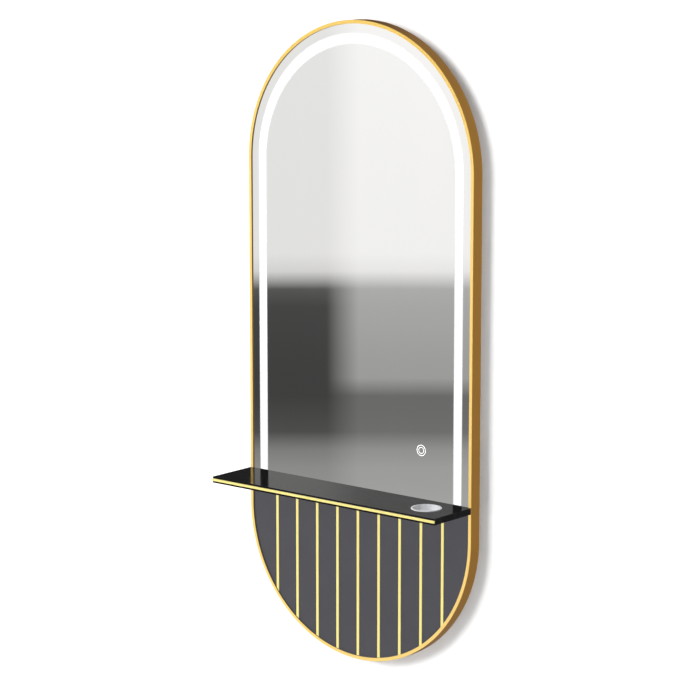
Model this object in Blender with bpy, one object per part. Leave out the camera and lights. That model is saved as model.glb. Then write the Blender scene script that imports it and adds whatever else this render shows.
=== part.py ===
"""A wall-hung salon mirror: a pill-shaped gold band round a lit mirror, a shelf and a striped panel.

Metres, +Z up. The wall is the plane y = 0 and the mirror faces -Y. The origin lies on the back face of the
cleat that is screwed to the wall, at the height of the centre of the outline's upper half circle.
"""

import math

import bmesh
import bpy
from mathutils import Vector

# Driving dimensions
WIDTH = 0.800
HEIGHT = 1.800
FRAME_DEPTH = 0.038
SHELF_TOP = -0.900
SHELF_REACH = 0.162  # in front of the band
SHELF_THICKNESS = 0.018
LIGHT_BAND_INSET = 0.050
GAP = 0.0003  # between pieces that touch on the real object

# Outline
ARC_RADIUS = WIDTH / 2
LOWER_CENTRE = WIDTH - HEIGHT
FOOT = LOWER_CENTRE - ARC_RADIUS
ARC_STEPS = 48

# Gold band
BAND_WALL = 0.002
LIP_WIDTH = 0.010
LIP_THICKNESS = 0.003
FRONT = -FRAME_DEPTH
TAB_LENGTH = 0.026
TAB_WIDTH = 0.030
TAB_THICKNESS = 0.002
TAB_HEIGHTS = (-0.22, -0.70)

# Glass, panel and board, from the lip towards the wall
EDGE_INSET = BAND_WALL + 0.0005
GLASS_THICKNESS = 0.005
GLASS_FRONT = FRONT + LIP_THICKNESS + GAP
GLASS_BACK = GLASS_FRONT + GLASS_THICKNESS
TAPE_WIDTH = 0.024
TAPE_THICKNESS = 0.001
BOARD_FRONT = GLASS_BACK + 2 * GAP + TAPE_THICKNESS
BOARD_THICKNESS = 0.015
BOARD_BACK = BOARD_FRONT + BOARD_THICKNESS
BOARD_SEAT = BOARD_BACK + GAP
PANEL_BACK = BOARD_FRONT - GAP
SHELF_BOTTOM = SHELF_TOP - SHELF_THICKNESS
SHELF_MIDDLE = SHELF_TOP - SHELF_THICKNESS / 2
GLASS_BOTTOM = SHELF_MIDDLE + 0.0005
PANEL_TOP = SHELF_MIDDLE - 0.0005

# Light: a channel that holds the strip and the diffuser, behind the etched band
LIGHT_RADIUS = ARC_RADIUS - LIGHT_BAND_INSET
LIGHT_END = SHELF_TOP + 0.004
CHANNEL_WIDTH = 0.030
CHANNEL_DEPTH = 0.012
CHANNEL_WALL = 0.0015
CHANNEL_FRONT = GLASS_BACK + 0.0005
CHANNEL_BACK = CHANNEL_FRONT + CHANNEL_DEPTH
DIFFUSER_THICKNESS = 0.002
STRIP_WIDTH = 0.010
STRIP_THICKNESS = 0.001
STRIP_STEPS = 24
CHIP_HEIGHT = 0.001
CHIP_LENGTH = 0.005
CHIP_PITCH = 0.050

# Gold inlays of the lower panel
INLAY_COUNT = 9
INLAY_PITCH = 0.075
INLAY_WIDTH = 0.009
INLAY_THICKNESS = 0.002
INLAY_PROUD = 0.0005
INLAY_FRONT = GLASS_FRONT - INLAY_PROUD

# Shelf
SHELF_FRONT = FRONT - SHELF_REACH
TRIM_HEIGHT = 0.007
TRIM_PROUD = 0.002
TRIM_DEPTH = 0.002
RING_X = 0.3095
RING_Y = FRONT - SHELF_REACH / 2
RING_BORE = 0.037
RING_SLEEVE = 0.0385
RING_FLANGE = 0.0425
RING_FLANGE_HEIGHT = 0.0025
RING_CHAMFER = 0.001
RING_BELOW = 0.002
RING_STEPS = 48

# Shelf brackets
BRACKET_X = 0.1875
BRACKET_WIDTH = 0.030
BRACKET_STEEL = 0.003
BRACKET_REACH = 0.122
BRACKET_DROP = 0.040
BRACKET_SCREW_X = 0.009
RIB_REACH = 0.107
RIB_DROP = 0.031
SHELF_SCREW_REACH = 0.085
BOARD_SCREW_DROP = 0.026

# Screws: pan heads that stand on their seats, with shanks in plain holes
HEAD_RADIUS = 0.004
HEAD_HEIGHT = 0.0024
SHANK_RADIUS = 0.002
HOLE_RADIUS = 0.0024
HOLE_DEPTH = 0.0125
SCREW_STEPS = 12
OVERSHOOT = 0.002  # how far a cutter passes the face that it enters by

# Cleats, both bent from the same strip
CLEAT_LENGTH = 0.500
CLEAT_SHEET = 0.003
CLEAT_SCREW_X = (-0.2, 0.0, 0.2)
CLEAT_SCREW_Z = 0.029
WALL_HOLE_X = (-0.225, -0.12, 0.12, 0.225)
WALL_HOLE_Z = -0.0075
WALL_HOLE_RADIUS = 0.0025

# Electrical pieces
SENSOR_X = 0.2246
SENSOR_Z = -0.765
SENSOR_RADIUS = 0.015
SENSOR_THICKNESS = 0.004
SENSOR_POCKET = 0.003  # room round and behind the sensor
DRIVER_X = 0.110
DRIVER_Z = -0.560
DRIVER_LENGTH = 0.160
DRIVER_WIDTH = 0.042
DRIVER_THICKNESS = 0.018
DRIVER_BACK = -0.002
DRIVER_FRONT = DRIVER_BACK - DRIVER_THICKNESS
DRIVER_ROOM = 0.001
EAR_LENGTH = 0.014
EAR_HALF = 0.008
EAR_THICKNESS = 0.002
BOX_X = -0.150
BOX_LENGTH = 0.090
BOX_HEIGHT = 0.050
BOX_WALL = 0.002
LID_THICKNESS = 0.0015
LID_BACK = -0.001
BLOCK_HALF = (0.015, 0.008)
BLOCK_DEPTH = 0.006
GLAND_BORE = 0.0025
GLAND_THREAD = 0.0033
GLAND_NUT = 0.0042
GLAND_STEPS = 16
LEAD_RADIUS = 0.0015
LEAD_BEND = 0.004
LEAD_HOLE = 0.0035
LEAD_Y = BOARD_SEAT + LEAD_RADIUS
LEAD_APART = 0.014  # from the driver's middle to each lead
LIGHT_LEAD_X = LIGHT_RADIUS - 0.009
LIGHT_LEAD_Z = LIGHT_END + 0.020

COLOURS = {  # name: (base colour, roughness, metallic)
    "gold_steel": ((0.83, 0.58, 0.22), 0.28, 1.0),
    "pale_gold": ((0.93, 0.80, 0.36), 0.30, 1.0),
    "mirror": ((0.92, 0.93, 0.93), 0.02, 1.0),
    "opal_acrylic": ((0.95, 0.95, 0.95), 0.50, 0.0),
    "circuit_board": ((0.90, 0.90, 0.86), 0.45, 0.0),
    "aluminium": ((0.78, 0.79, 0.80), 0.35, 1.0),
    "fibreboard": ((0.42, 0.31, 0.21), 0.85, 0.0),
    "grey_lacquer": ((0.088, 0.088, 0.102), 0.38, 0.0),
    "black_lacquer": ((0.012, 0.011, 0.013), 0.12, 0.0),
    "stainless_steel": ((0.74, 0.75, 0.77), 0.22, 1.0),
    "black_steel": ((0.03, 0.03, 0.03), 0.45, 0.6),
    "zinc_steel": ((0.70, 0.70, 0.68), 0.35, 1.0),
    "white_plastic": ((0.82, 0.82, 0.80), 0.45, 0.0),
    "black_plastic": ((0.03, 0.03, 0.03), 0.50, 0.0),
    "foam_tape": ((0.06, 0.06, 0.06), 0.90, 0.0),
    "cable_sheath": ((0.10, 0.10, 0.10), 0.55, 0.0),
}


# Making objects


def material(name):
    """The named material, made once."""
    found = bpy.data.materials.get(name)
    if found:
        return found
    colour, roughness, metallic = COLOURS[name]
    made = bpy.data.materials.new(name)
    made.use_nodes = True
    shader = made.node_tree.nodes["Principled BSDF"]
    shader.inputs["Base Color"].default_value = (*colour, 1.0)
    shader.inputs["Roughness"].default_value = roughness
    shader.inputs["Metallic"].default_value = metallic
    return made


def add_mesh(name, mesh, slot, smooth=False):
    """A new object with this mesh and material, at the origin."""
    if not mesh.materials:
        mesh.materials.append(material(slot))
    if smooth:
        mesh.shade_smooth()
        mesh.set_sharp_from_angle(angle=math.radians(35))
    made = bpy.data.objects.new(name, mesh)
    bpy.context.scene.collection.objects.link(made)
    return made


def add_bmesh(name, shape, slot, smooth=False):
    """A new object from a bmesh, with its faces turned outwards."""
    bmesh.ops.recalc_face_normals(shape, faces=shape.faces)
    mesh = bpy.data.meshes.new(name)
    shape.to_mesh(mesh)
    shape.free()
    return add_mesh(name, mesh, slot, smooth)


def loft(shape, rings, closed=False):
    """Skins quads between rings of vertices. It joins the last ring to the first, or fills both ends."""
    pairs = list(zip(rings, rings[1:]))
    if closed:
        pairs.append((rings[-1], rings[0]))
    for first, second in pairs:
        for i in range(len(first)):
            j = (i + 1) % len(first)
            shape.faces.new((first[i], first[j], second[j], second[i]))
    if not closed:
        shape.faces.new(rings[0])
        shape.faces.new(reversed(rings[-1]))


def prism(name, outline, place, slot, smooth=False):
    """A prism: place(u, v, end) turns a point of the flat outline into 3-D, at end 0 and at end 1."""
    shape = bmesh.new()
    loft(shape, [[shape.verts.new(place(u, v, end)) for u, v in outline] for end in (0, 1)])
    return add_bmesh(name, shape, slot, smooth)


def slab(name, outline, front, back, slot):
    """An upright slab whose outline is given as (x, z) points."""
    return prism(name, outline, lambda x, z, end: (x, back if end else front, z), slot)


def bar(name, section, low, high, slot):
    """A bar along X whose section is given as (y, z) points."""
    return prism(name, section, lambda y, z, end: (high if end else low, y, z), slot)


def block(name, low, high, slot):
    """A box between two corners."""
    corners = ((low[0], low[2]), (high[0], low[2]), (high[0], high[2]), (low[0], high[2]))
    return slab(name, corners, low[1], high[1], slot)


def lathe(name, profile, steps, slot):
    """A body turned about Z. The (radius, z) profile is a closed loop, or runs from the axis to the axis."""
    shape = bmesh.new()
    poles = [shape.verts.new((0, 0, z)) if r == 0 else None for r, z in profile]
    columns = []
    for k in range(steps):
        turn = 2 * math.pi * k / steps
        ring = [(r * math.cos(turn), r * math.sin(turn), z) for r, z in profile]
        columns.append([pole or shape.verts.new(place) for pole, place in zip(poles, ring)])
    count = len(profile) - (1 if any(poles) else 0)
    for column, following in zip(columns, columns[1:] + columns[:1]):
        for i in range(count):
            j = (i + 1) % len(profile)
            around = (column[i], following[i], following[j], column[j])
            shape.faces.new([v for n, v in enumerate(around) if v not in around[:n]])
    return add_bmesh(name, shape, slot, smooth=True)


# Cutting and joining


def combine(target, helper, operation):
    """A Boolean of the helper, which is hidden, on the target."""
    helper.hide_render = True
    helper.display_type = "WIRE"
    modifier = target.modifiers.new(operation.lower(), "BOOLEAN")
    modifier.operation = operation
    modifier.object = helper
    modifier.solver = "EXACT"


def add_cylinder(shape, start, end, radius, steps):
    """A closed cylinder between two points."""
    along = Vector(end) - Vector(start)
    matrix = along.to_track_quat("Z", "Y").to_matrix().to_4x4()
    matrix.translation = (Vector(start) + Vector(end)) / 2
    size = {"segments": steps, "radius1": radius, "radius2": radius, "depth": along.length}
    bmesh.ops.create_cone(shape, cap_ends=True, matrix=matrix, **size)


def drill(target, holes, radius=HOLE_RADIUS, steps=SCREW_STEPS):
    """Cuts round holes, each from a start to an end point that are clear of the faces it goes through."""
    shape = bmesh.new()
    for start, end in holes:
        add_cylinder(shape, start, end, radius, steps)
    combine(target, add_bmesh(f"{target.name}_drill", shape, "zinc_steel"), "DIFFERENCE")


def through(x, z, front, back):
    """A hole along Y that passes both faces."""
    return (x, front - OVERSHOOT, z), (x, back + OVERSHOOT, z)


def applied_mesh(source):
    """The object's mesh with its modifiers applied. The object itself becomes a hidden helper."""
    bpy.context.view_layer.update()
    graph = bpy.context.evaluated_depsgraph_get()
    mesh = bpy.data.meshes.new_from_object(source.evaluated_get(graph))
    source.hide_render = True
    source.display_type = "WIRE"
    return mesh


# Outlines


def arc(radius, centre_z, start, end, steps=ARC_STEPS):
    """Points (x, z) along an arc, both ends included. Angles are in degrees from +X."""
    turns = [math.radians(start + (end - start) * i / steps) for i in range(steps + 1)]
    return [(radius * math.cos(t), centre_z + radius * math.sin(t)) for t in turns]


def pill(inset):
    """The mirror's outline, anticlockwise, moved inwards by inset."""
    radius = ARC_RADIUS - inset
    return arc(radius, 0, 0, 180) + arc(radius, LOWER_CENTRE, 180, 360)


def arch(inset, bottom):
    """The upper part of the outline, cut off flat at bottom."""
    radius = ARC_RADIUS - inset
    return [(-radius, bottom), (radius, bottom), *arc(radius, 0, 0, 180)]


def cradle(inset, top):
    """The lower part of the outline, cut off flat at top."""
    radius = ARC_RADIUS - inset
    return [(radius, top), (-radius, top), *arc(radius, LOWER_CENTRE, 180, 360)]


def light_station(s):
    """The point and outward normal on the light's path, at a distance s from the foot of its left leg."""
    turned = (s + LIGHT_END) / LIGHT_RADIUS
    if turned <= 0:
        return -LIGHT_RADIUS, LIGHT_END + s, -1, 0
    if turned >= math.pi:
        return LIGHT_RADIUS, (math.pi - turned) * LIGHT_RADIUS, 1, 0
    nx, nz = -math.cos(turned), math.sin(turned)
    return LIGHT_RADIUS * nx, LIGHT_RADIUS * nz, nx, nz


def light_length():
    return math.pi * LIGHT_RADIUS - 2 * LIGHT_END


def arc_stations(steps):
    """Distances along the light's path of points spaced evenly over its arc."""
    return [math.pi * LIGHT_RADIUS * i / steps - LIGHT_END for i in range(steps + 1)]


def light_rings(shape, stations, section):
    """A ring of vertices at each station. The section is (outward offset, y) points."""
    rings = []
    for s in stations:
        x, z, nx, nz = light_station(s)
        rings.append([shape.verts.new((x + out * nx, y, z + out * nz)) for out, y in section])
    return rings


def follow_light(name, section, slot, beyond=0.0):
    """A body along the light's whole path, and past both its feet by beyond."""
    shape = bmesh.new()
    stations = [-beyond, *arc_stations(ARC_STEPS), light_length() + beyond]
    loft(shape, light_rings(shape, stations, section))
    return add_bmesh(name, shape, slot, smooth=True)


# Screws


def screw_mesh(length):
    """A pan-head screw along Z: the head is on z = 0, with a cross recess, and the shank runs down."""
    crown = [(0, 1.0), (0.6, 0.95), (1.0, 0.45)]
    head = [(r * HEAD_RADIUS, z * HEAD_HEIGHT) for r, z in crown] + [(HEAD_RADIUS, 0)]
    taper = 1.5 * SHANK_RADIUS
    shank = [(SHANK_RADIUS, 0), (SHANK_RADIUS, taper - length), (0, -length)]
    body = lathe("screw_blank", head + shank, SCREW_STEPS, "zinc_steel")
    arm, tip = 0.18 * HEAD_RADIUS, 0.55 * HEAD_RADIUS
    quarter = [(arm, arm), (arm, tip), (-arm, tip)]
    turns = ((1, 0), (0, 1), (-1, 0), (0, -1))
    cross = [(u * c - v * s, u * s + v * c) for c, s in turns for u, v in quarter]
    levels = (0.4 * HEAD_HEIGHT, 2 * HEAD_HEIGHT)
    recess = prism("screw_recess", cross, lambda u, v, end: (u, v, levels[end]), "zinc_steel")
    combine(body, recess, "DIFFERENCE")
    return applied_mesh(body)


def place_screws(prefix, length, seats, into):
    """One screw per seat, driven in the direction into, with its head's underside a gap above the seat."""
    mesh = screw_mesh(length)
    out = -Vector(into)
    for i, seat in enumerate(seats):
        screw = add_mesh(f"{prefix}_{i + 1}", mesh, "zinc_steel")
        screw.rotation_mode = "QUATERNION"
        screw.rotation_quaternion = out.to_track_quat("Z", "Y")
        screw.location = Vector(seat) + out * GAP


# The band and what fills it


def tab_frames():
    """Points on the outline, with outward normals, where a tab is welded inside the band."""
    sides = [(side * ARC_RADIUS, z, side, 0) for side in (-1, 1) for z in TAB_HEIGHTS]
    return [*sides, (0, ARC_RADIUS, 0, 1), (0, FOOT, 0, -1)]


def tab_screws():
    inward = 0.6 * TAB_LENGTH
    return [(x - inward * nx, z - inward * nz) for x, z, nx, nz in tab_frames()]


def frame_band():
    """One bent band: a side wall, a lip that laps the glass, and welded tabs that are screwed to the board."""
    lip_back = FRONT + LIP_THICKNESS
    section = [(0, FRONT), (0, 0), (BAND_WALL, 0)]
    section += [(BAND_WALL, lip_back), (LIP_WIDTH, lip_back), (LIP_WIDTH, FRONT)]
    shape = bmesh.new()
    loops = [[(x, y, z) for x, z in pill(inset)] for inset, y in section]
    rings = [[shape.verts.new(place) for place in station] for station in zip(*loops)]
    loft(shape, rings, closed=True)
    band = add_bmesh("frame_band", shape, "gold_steel", smooth=True)
    combine(band, band_tabs(), "UNION")
    back = BOARD_SEAT + TAB_THICKNESS
    drill(band, [through(x, z, BOARD_SEAT, back) for x, z in tab_screws()])
    place_screws("frame_screw", 0.012, [(x, back, z) for x, z in tab_screws()], (0, -1, 0))


def band_tabs():
    shape = bmesh.new()
    half = TAB_WIDTH / 2
    flat = [(-TAB_LENGTH, -half), (-BAND_WALL / 2, -half), (-BAND_WALL / 2, half), (-TAB_LENGTH, half)]
    for x, z, nx, nz in tab_frames():
        corners = [(x + out * nx - side * nz, z + out * nz + side * nx) for out, side in flat]
        levels = (BOARD_SEAT, BOARD_SEAT + TAB_THICKNESS)
        loft(shape, [[shape.verts.new((u, y, v)) for u, v in corners] for y in levels])
    return add_bmesh("band_tabs", shape, "gold_steel")


def mirror_glass():
    """The glass, and the foam tapes that bond it to the board."""
    slab("mirror_glass", arch(EDGE_INSET, GLASS_BOTTOM), GLASS_FRONT, GLASS_BACK, "mirror")
    front = GLASS_BACK + GAP
    for name, x in (("left", -0.15), ("centre", 0.0), ("right", 0.15)):
        low = (x - TAPE_WIDTH / 2, front, -0.87)
        high = (x + TAPE_WIDTH / 2, front + TAPE_THICKNESS, 0.25)
        block(f"mirror_tape_{name}", low, high, "foam_tape")


def light_unit():
    """The aluminium channel, the light strip on its floor and the diffuser in its mouth."""
    half, floor = CHANNEL_WIDTH / 2, CHANNEL_BACK - CHANNEL_WALL
    inner = half - CHANNEL_WALL
    section = [(-half, CHANNEL_FRONT), (-half, CHANNEL_BACK), (half, CHANNEL_BACK), (half, CHANNEL_FRONT)]
    section += [(inner, CHANNEL_FRONT), (inner, floor), (-inner, floor), (-inner, CHANNEL_FRONT)]
    channel = follow_light("led_channel", section, "aluminium")
    drill(channel, [through(LIGHT_LEAD_X, LIGHT_LEAD_Z, floor, CHANNEL_BACK)], LEAD_HOLE)
    mouth = inner - GAP
    sheet_back = CHANNEL_FRONT + DIFFUSER_THICKNESS
    sheet = [(-mouth, CHANNEL_FRONT), (-mouth, sheet_back), (mouth, sheet_back), (mouth, CHANNEL_FRONT)]
    follow_light("light_diffuser", sheet, "opal_acrylic")
    led_strip(floor - GAP)


def chip_places():
    """Distances along the light's path of the middles of the chips."""
    count = int(light_length() / CHIP_PITCH)
    first = (light_length() - (count - 1) * CHIP_PITCH) / 2
    return [first + i * CHIP_PITCH for i in range(count)]


def led_strip(back):
    """A flexible strip whose chips are extruded from its front."""
    half, chip = STRIP_WIDTH / 2, CHIP_LENGTH / 2
    ends = [OVERSHOOT / 2, light_length() - OVERSHOOT / 2]
    chip_edges = [s + d for s in chip_places() for d in (-chip, chip)]
    edges = sorted(ends + arc_stations(STRIP_STEPS) + chip_edges)
    stations = edges[:1] + [b for a, b in zip(edges, edges[1:]) if b - a > GAP]
    front = back - STRIP_THICKNESS
    section = [(-half, front), (-half, back), (half, back), (half, front), (chip, front), (-chip, front)]
    shape = bmesh.new()
    rings = light_rings(shape, stations, section)
    loft(shape, rings)
    under = [max(n for n, s in enumerate(stations) if s <= middle) for middle in chip_places()]
    between = [{*rings[k][4:], *rings[k + 1][4:]} for k in under]
    chips = [face for face in shape.faces if set(face.verts) in between]
    for face in bmesh.ops.extrude_discrete_faces(shape, faces=chips)["faces"]:
        for vertex in face.verts:
            vertex.co.y -= CHIP_HEIGHT
    add_bmesh("led_strip", shape, "circuit_board")


def backing_board():
    """The fibreboard core, grooved for the light, pocketed for the sensor and the driver, and drilled."""
    board = slab("backing_board", pill(EDGE_INSET), BOARD_FRONT, BOARD_BACK, "fibreboard")
    half, before = CHANNEL_WIDTH / 2 + GAP, BOARD_FRONT - OVERSHOOT
    groove = [(-half, before), (-half, CHANNEL_BACK + GAP), (half, CHANNEL_BACK + GAP), (half, before)]
    combine(board, follow_light("light_groove", groove, "fibreboard", beyond=OVERSHOOT / 2), "DIFFERENCE")
    reach, rise = DRIVER_LENGTH / 2 + DRIVER_ROOM, DRIVER_WIDTH / 2 + DRIVER_ROOM
    low = (DRIVER_X - reach, DRIVER_FRONT - GAP, DRIVER_Z - rise)
    high = (DRIVER_X + reach, BOARD_BACK + OVERSHOOT, DRIVER_Z + rise)
    combine(board, block("driver_pocket", low, high, "fibreboard"), "DIFFERENCE")
    floor = GLASS_BACK + GAP + SENSOR_THICKNESS + SENSOR_POCKET
    pocket = [((SENSOR_X, before, SENSOR_Z), (SENSOR_X, floor, SENSOR_Z))]
    drill(board, pocket, SENSOR_RADIUS + SENSOR_POCKET, steps=24)
    lead_holes = [through(SENSOR_X, SENSOR_Z, floor, BOARD_BACK)]
    lead_holes.append(through(LIGHT_LEAD_X, LIGHT_LEAD_Z, CHANNEL_BACK, BOARD_BACK))
    drill(board, lead_holes, LEAD_HOLE)
    behind = [*tab_screws(), *((x, CLEAT_SCREW_Z) for x in CLEAT_SCREW_X), *driver_screws()]
    pilots = [((x, BOARD_BACK - HOLE_DEPTH, z), (x, BOARD_BACK + OVERSHOOT, z)) for x, z in behind]
    pilots += [((x, before, z), (x, BOARD_FRONT + HOLE_DEPTH, z)) for x, z in board_screws()]
    drill(board, pilots)


# The lower panel


def inlay_places():
    return [(i - (INLAY_COUNT - 1) / 2) * INLAY_PITCH for i in range(INLAY_COUNT)]


def lower_panel():
    panel = slab("lower_panel", cradle(EDGE_INSET, PANEL_TOP), GLASS_FRONT, PANEL_BACK, "grey_lacquer")
    grooves = bmesh.new()
    half = INLAY_WIDTH / 2 + GAP
    levels = (GLASS_FRONT - OVERSHOOT, INLAY_FRONT + INLAY_THICKNESS + GAP)
    for x in inlay_places():
        flat = [(x - half, FOOT), (x + half, FOOT), (x + half, SHELF_TOP), (x - half, SHELF_TOP)]
        loft(grooves, [[grooves.verts.new((u, y, v)) for u, v in flat] for y in levels])
    combine(panel, add_bmesh("inlay_grooves", grooves, "grey_lacquer"), "DIFFERENCE")
    drill(panel, [through(x, z, GLASS_FRONT, PANEL_BACK) for x, z in board_screws()])


def panel_inlays():
    """Gold strips from under the shelf down to the lip, each with its foot cut to the lip's curve."""
    radius = ARC_RADIUS - LIP_WIDTH - GAP
    top = SHELF_BOTTOM - GAP
    for i, x in enumerate(inlay_places()):
        left, right = x - INLAY_WIDTH / 2, x + INLAY_WIDTH / 2
        foot = [(u, LOWER_CENTRE - math.sqrt(radius**2 - u**2)) for u in (left, right)]
        outline = [*foot, (right, top), (left, top)]
        slab(f"panel_inlay_{i + 1}", outline, INLAY_FRONT, INLAY_FRONT + INLAY_THICKNESS, "pale_gold")


# The shelf


def shelf_board():
    """The board spans the band. Its tongue passes between the lips and reaches the glass."""
    inner = ARC_RADIUS - LIP_WIDTH - 2 * GAP
    back, tongue = FRONT - GAP, INLAY_FRONT - GAP
    half = [(ARC_RADIUS, SHELF_FRONT), (ARC_RADIUS, back), (inner, back), (inner, tongue)]
    outline = half + [(-x, y) for x, y in reversed(half)]
    levels = (SHELF_BOTTOM, SHELF_TOP)
    shelf = prism("shelf_board", outline, lambda x, y, end: (x, y, levels[end]), "black_lacquer")
    rise, past = TRIM_HEIGHT / 2 + GAP, ARC_RADIUS + OVERSHOOT
    low = (-past, SHELF_FRONT - OVERSHOOT, SHELF_MIDDLE - rise)
    high = (past, SHELF_FRONT + TRIM_DEPTH + GAP, SHELF_MIDDLE + rise)
    combine(shelf, block("trim_groove", low, high, "black_lacquer"), "DIFFERENCE")
    bore = (RING_X, RING_Y, SHELF_BOTTOM - OVERSHOOT), (RING_X, RING_Y, SHELF_TOP + OVERSHOOT)
    drill(shelf, [bore], RING_SLEEVE + 0.0005, RING_STEPS)
    under, depth = SHELF_BOTTOM - OVERSHOOT, SHELF_BOTTOM + HOLE_DEPTH
    drill(shelf, [((x, y, under), (x, y, depth)) for x, y in shelf_screws()])


def shelf_edge_trim():
    low = (-ARC_RADIUS, SHELF_FRONT - TRIM_PROUD, SHELF_MIDDLE - TRIM_HEIGHT / 2)
    high = (ARC_RADIUS, SHELF_FRONT + TRIM_DEPTH, SHELF_MIDDLE + TRIM_HEIGHT / 2)
    block("shelf_edge_trim", low, high, "pale_gold")


def dryer_ring():
    """A flanged steel sleeve that lines the hole a hair dryer hangs in."""
    under, bottom = SHELF_TOP + GAP, SHELF_BOTTOM - RING_BELOW
    top = under + RING_FLANGE_HEIGHT
    shoulder = top - RING_CHAMFER
    profile = [(RING_BORE, bottom), (RING_SLEEVE, bottom), (RING_SLEEVE, under), (RING_FLANGE, under)]
    profile += [(RING_FLANGE, shoulder), (RING_FLANGE - RING_CHAMFER, top)]
    profile += [(RING_BORE + RING_CHAMFER, top), (RING_BORE, shoulder)]
    ring = lathe("dryer_ring", profile, RING_STEPS, "stainless_steel")
    ring.location = (RING_X, RING_Y, 0)


def screw_columns():
    return [side * BRACKET_X + dx for side in (-1, 1) for dx in (-BRACKET_SCREW_X, BRACKET_SCREW_X)]


def board_screws():
    """(x, z) of the screws that hold the brackets to the board."""
    return [(x, SHELF_BOTTOM - BOARD_SCREW_DROP) for x in screw_columns()]


def shelf_screws():
    """(x, y) of the screws that hold the shelf to the brackets."""
    return [(x, FRONT - SHELF_SCREW_REACH) for x in screw_columns()]


def shelf_brackets():
    """Two steel angles, each with a rib, under the shelf."""
    back, top = GLASS_FRONT - GAP, SHELF_BOTTOM - GAP
    face, under = back - BRACKET_STEEL, top - BRACKET_STEEL
    tip, foot = back - BRACKET_REACH, top - BRACKET_DROP
    angle = [(back, top), (tip, top), (tip, under), (face, under), (face, foot), (back, foot)]
    root = (face + BRACKET_STEEL / 3, under + BRACKET_STEEL / 3)
    rib = [root, (face - RIB_REACH, root[1]), (root[0], under - RIB_DROP)]
    thin, wide = BRACKET_STEEL / 2, BRACKET_WIDTH / 2
    for i, (name, x) in enumerate((("left", -BRACKET_X), ("right", BRACKET_X))):
        bracket = bar(f"shelf_bracket_{name}", angle, x - wide, x + wide, "black_steel")
        combine(bracket, bar(f"bracket_rib_{name}", rib, x - thin, x + thin, "black_steel"), "UNION")
        pair = slice(2 * i, 2 * i + 2)
        holes = [through(u, v, face, back) for u, v in board_screws()[pair]]
        holes += [((u, v, under - OVERSHOOT), (u, v, top + OVERSHOOT)) for u, v in shelf_screws()[pair]]
        drill(bracket, holes)
    place_screws("bracket_wall_screw", 0.020, [(x, face, z) for x, z in board_screws()], (0, 1, 0))
    place_screws("bracket_shelf_screw", 0.014, [(x, y, under) for x, y in shelf_screws()], (0, 0, 1))


# Hanging


def cleats():
    """Two interlocking cleats: the mirror's tongue drops between the wall cleat's hook and the wall."""
    half, sheet = CLEAT_LENGTH / 2, CLEAT_SHEET
    ledge, hook_top, base_foot = 0.004, 0.018, -0.016
    hook_back = -2 * sheet
    hook_front = hook_back - sheet
    wall = [(0, base_foot), (0, ledge), (hook_back, ledge), (hook_back, hook_top), (hook_front, hook_top)]
    wall += [(hook_front, ledge - sheet), (-sheet, ledge - sheet), (-sheet, base_foot)]
    piece = bar("wall_cleat", wall, -half, half, "aluminium")
    drill(piece, [through(x, WALL_HOLE_Z, -sheet, 0) for x in WALL_HOLE_X], WALL_HOLE_RADIUS)
    base_back = BOARD_SEAT + sheet
    tongue_back = -0.0025
    tongue_front = tongue_back - sheet
    web = hook_top + 0.0005
    head = web + 0.020
    hook = [(BOARD_SEAT, head), (base_back, head), (base_back, web + sheet), (tongue_back, web + sheet)]
    hook += [(tongue_back, ledge + GAP), (tongue_front, ledge + GAP), (tongue_front, web), (BOARD_SEAT, web)]
    piece = bar("mirror_cleat", hook, -half, half, "aluminium")
    drill(piece, [through(x, CLEAT_SCREW_Z, BOARD_SEAT, base_back) for x in CLEAT_SCREW_X])
    place_screws("cleat_screw", 0.013, [(x, base_back, CLEAT_SCREW_Z) for x in CLEAT_SCREW_X], (0, -1, 0))


# Electrical pieces


def driver_screws():
    reach = (DRIVER_LENGTH + EAR_LENGTH) / 2
    return [(DRIVER_X - reach, DRIVER_Z), (DRIVER_X + reach, DRIVER_Z)]


def led_driver():
    """A slim driver sunk into the board, held by an ear at each end."""
    reach, rise = DRIVER_LENGTH / 2, DRIVER_WIDTH / 2
    low = (DRIVER_X - reach, DRIVER_FRONT, DRIVER_Z - rise)
    high = (DRIVER_X + reach, DRIVER_BACK, DRIVER_Z + rise)
    driver = block("led_driver", low, high, "white_plastic")
    seat = BOARD_SEAT + EAR_THICKNESS
    low = (DRIVER_X - reach - EAR_LENGTH, BOARD_SEAT, DRIVER_Z - EAR_HALF)
    high = (DRIVER_X + reach + EAR_LENGTH, seat, DRIVER_Z + EAR_HALF)
    combine(driver, block("driver_ears", low, high, "white_plastic"), "UNION")
    drill(driver, [through(x, z, BOARD_SEAT, seat) for x, z in driver_screws()])
    place_screws("driver_screw", 0.011, [(x, seat, z) for x, z in driver_screws()], (0, -1, 0))


def touch_sensor():
    """A small round module stuck to the back of the glass, behind the etched ring."""
    profile = [(0, 0), (SENSOR_RADIUS, 0), (SENSOR_RADIUS, SENSOR_THICKNESS), (0, SENSOR_THICKNESS)]
    sensor = lathe("touch_sensor", profile, 24, "circuit_board")
    sensor.rotation_euler = (-math.pi / 2, 0, 0)
    sensor.location = (SENSOR_X, GLASS_BACK + GAP, SENSOR_Z)


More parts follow.
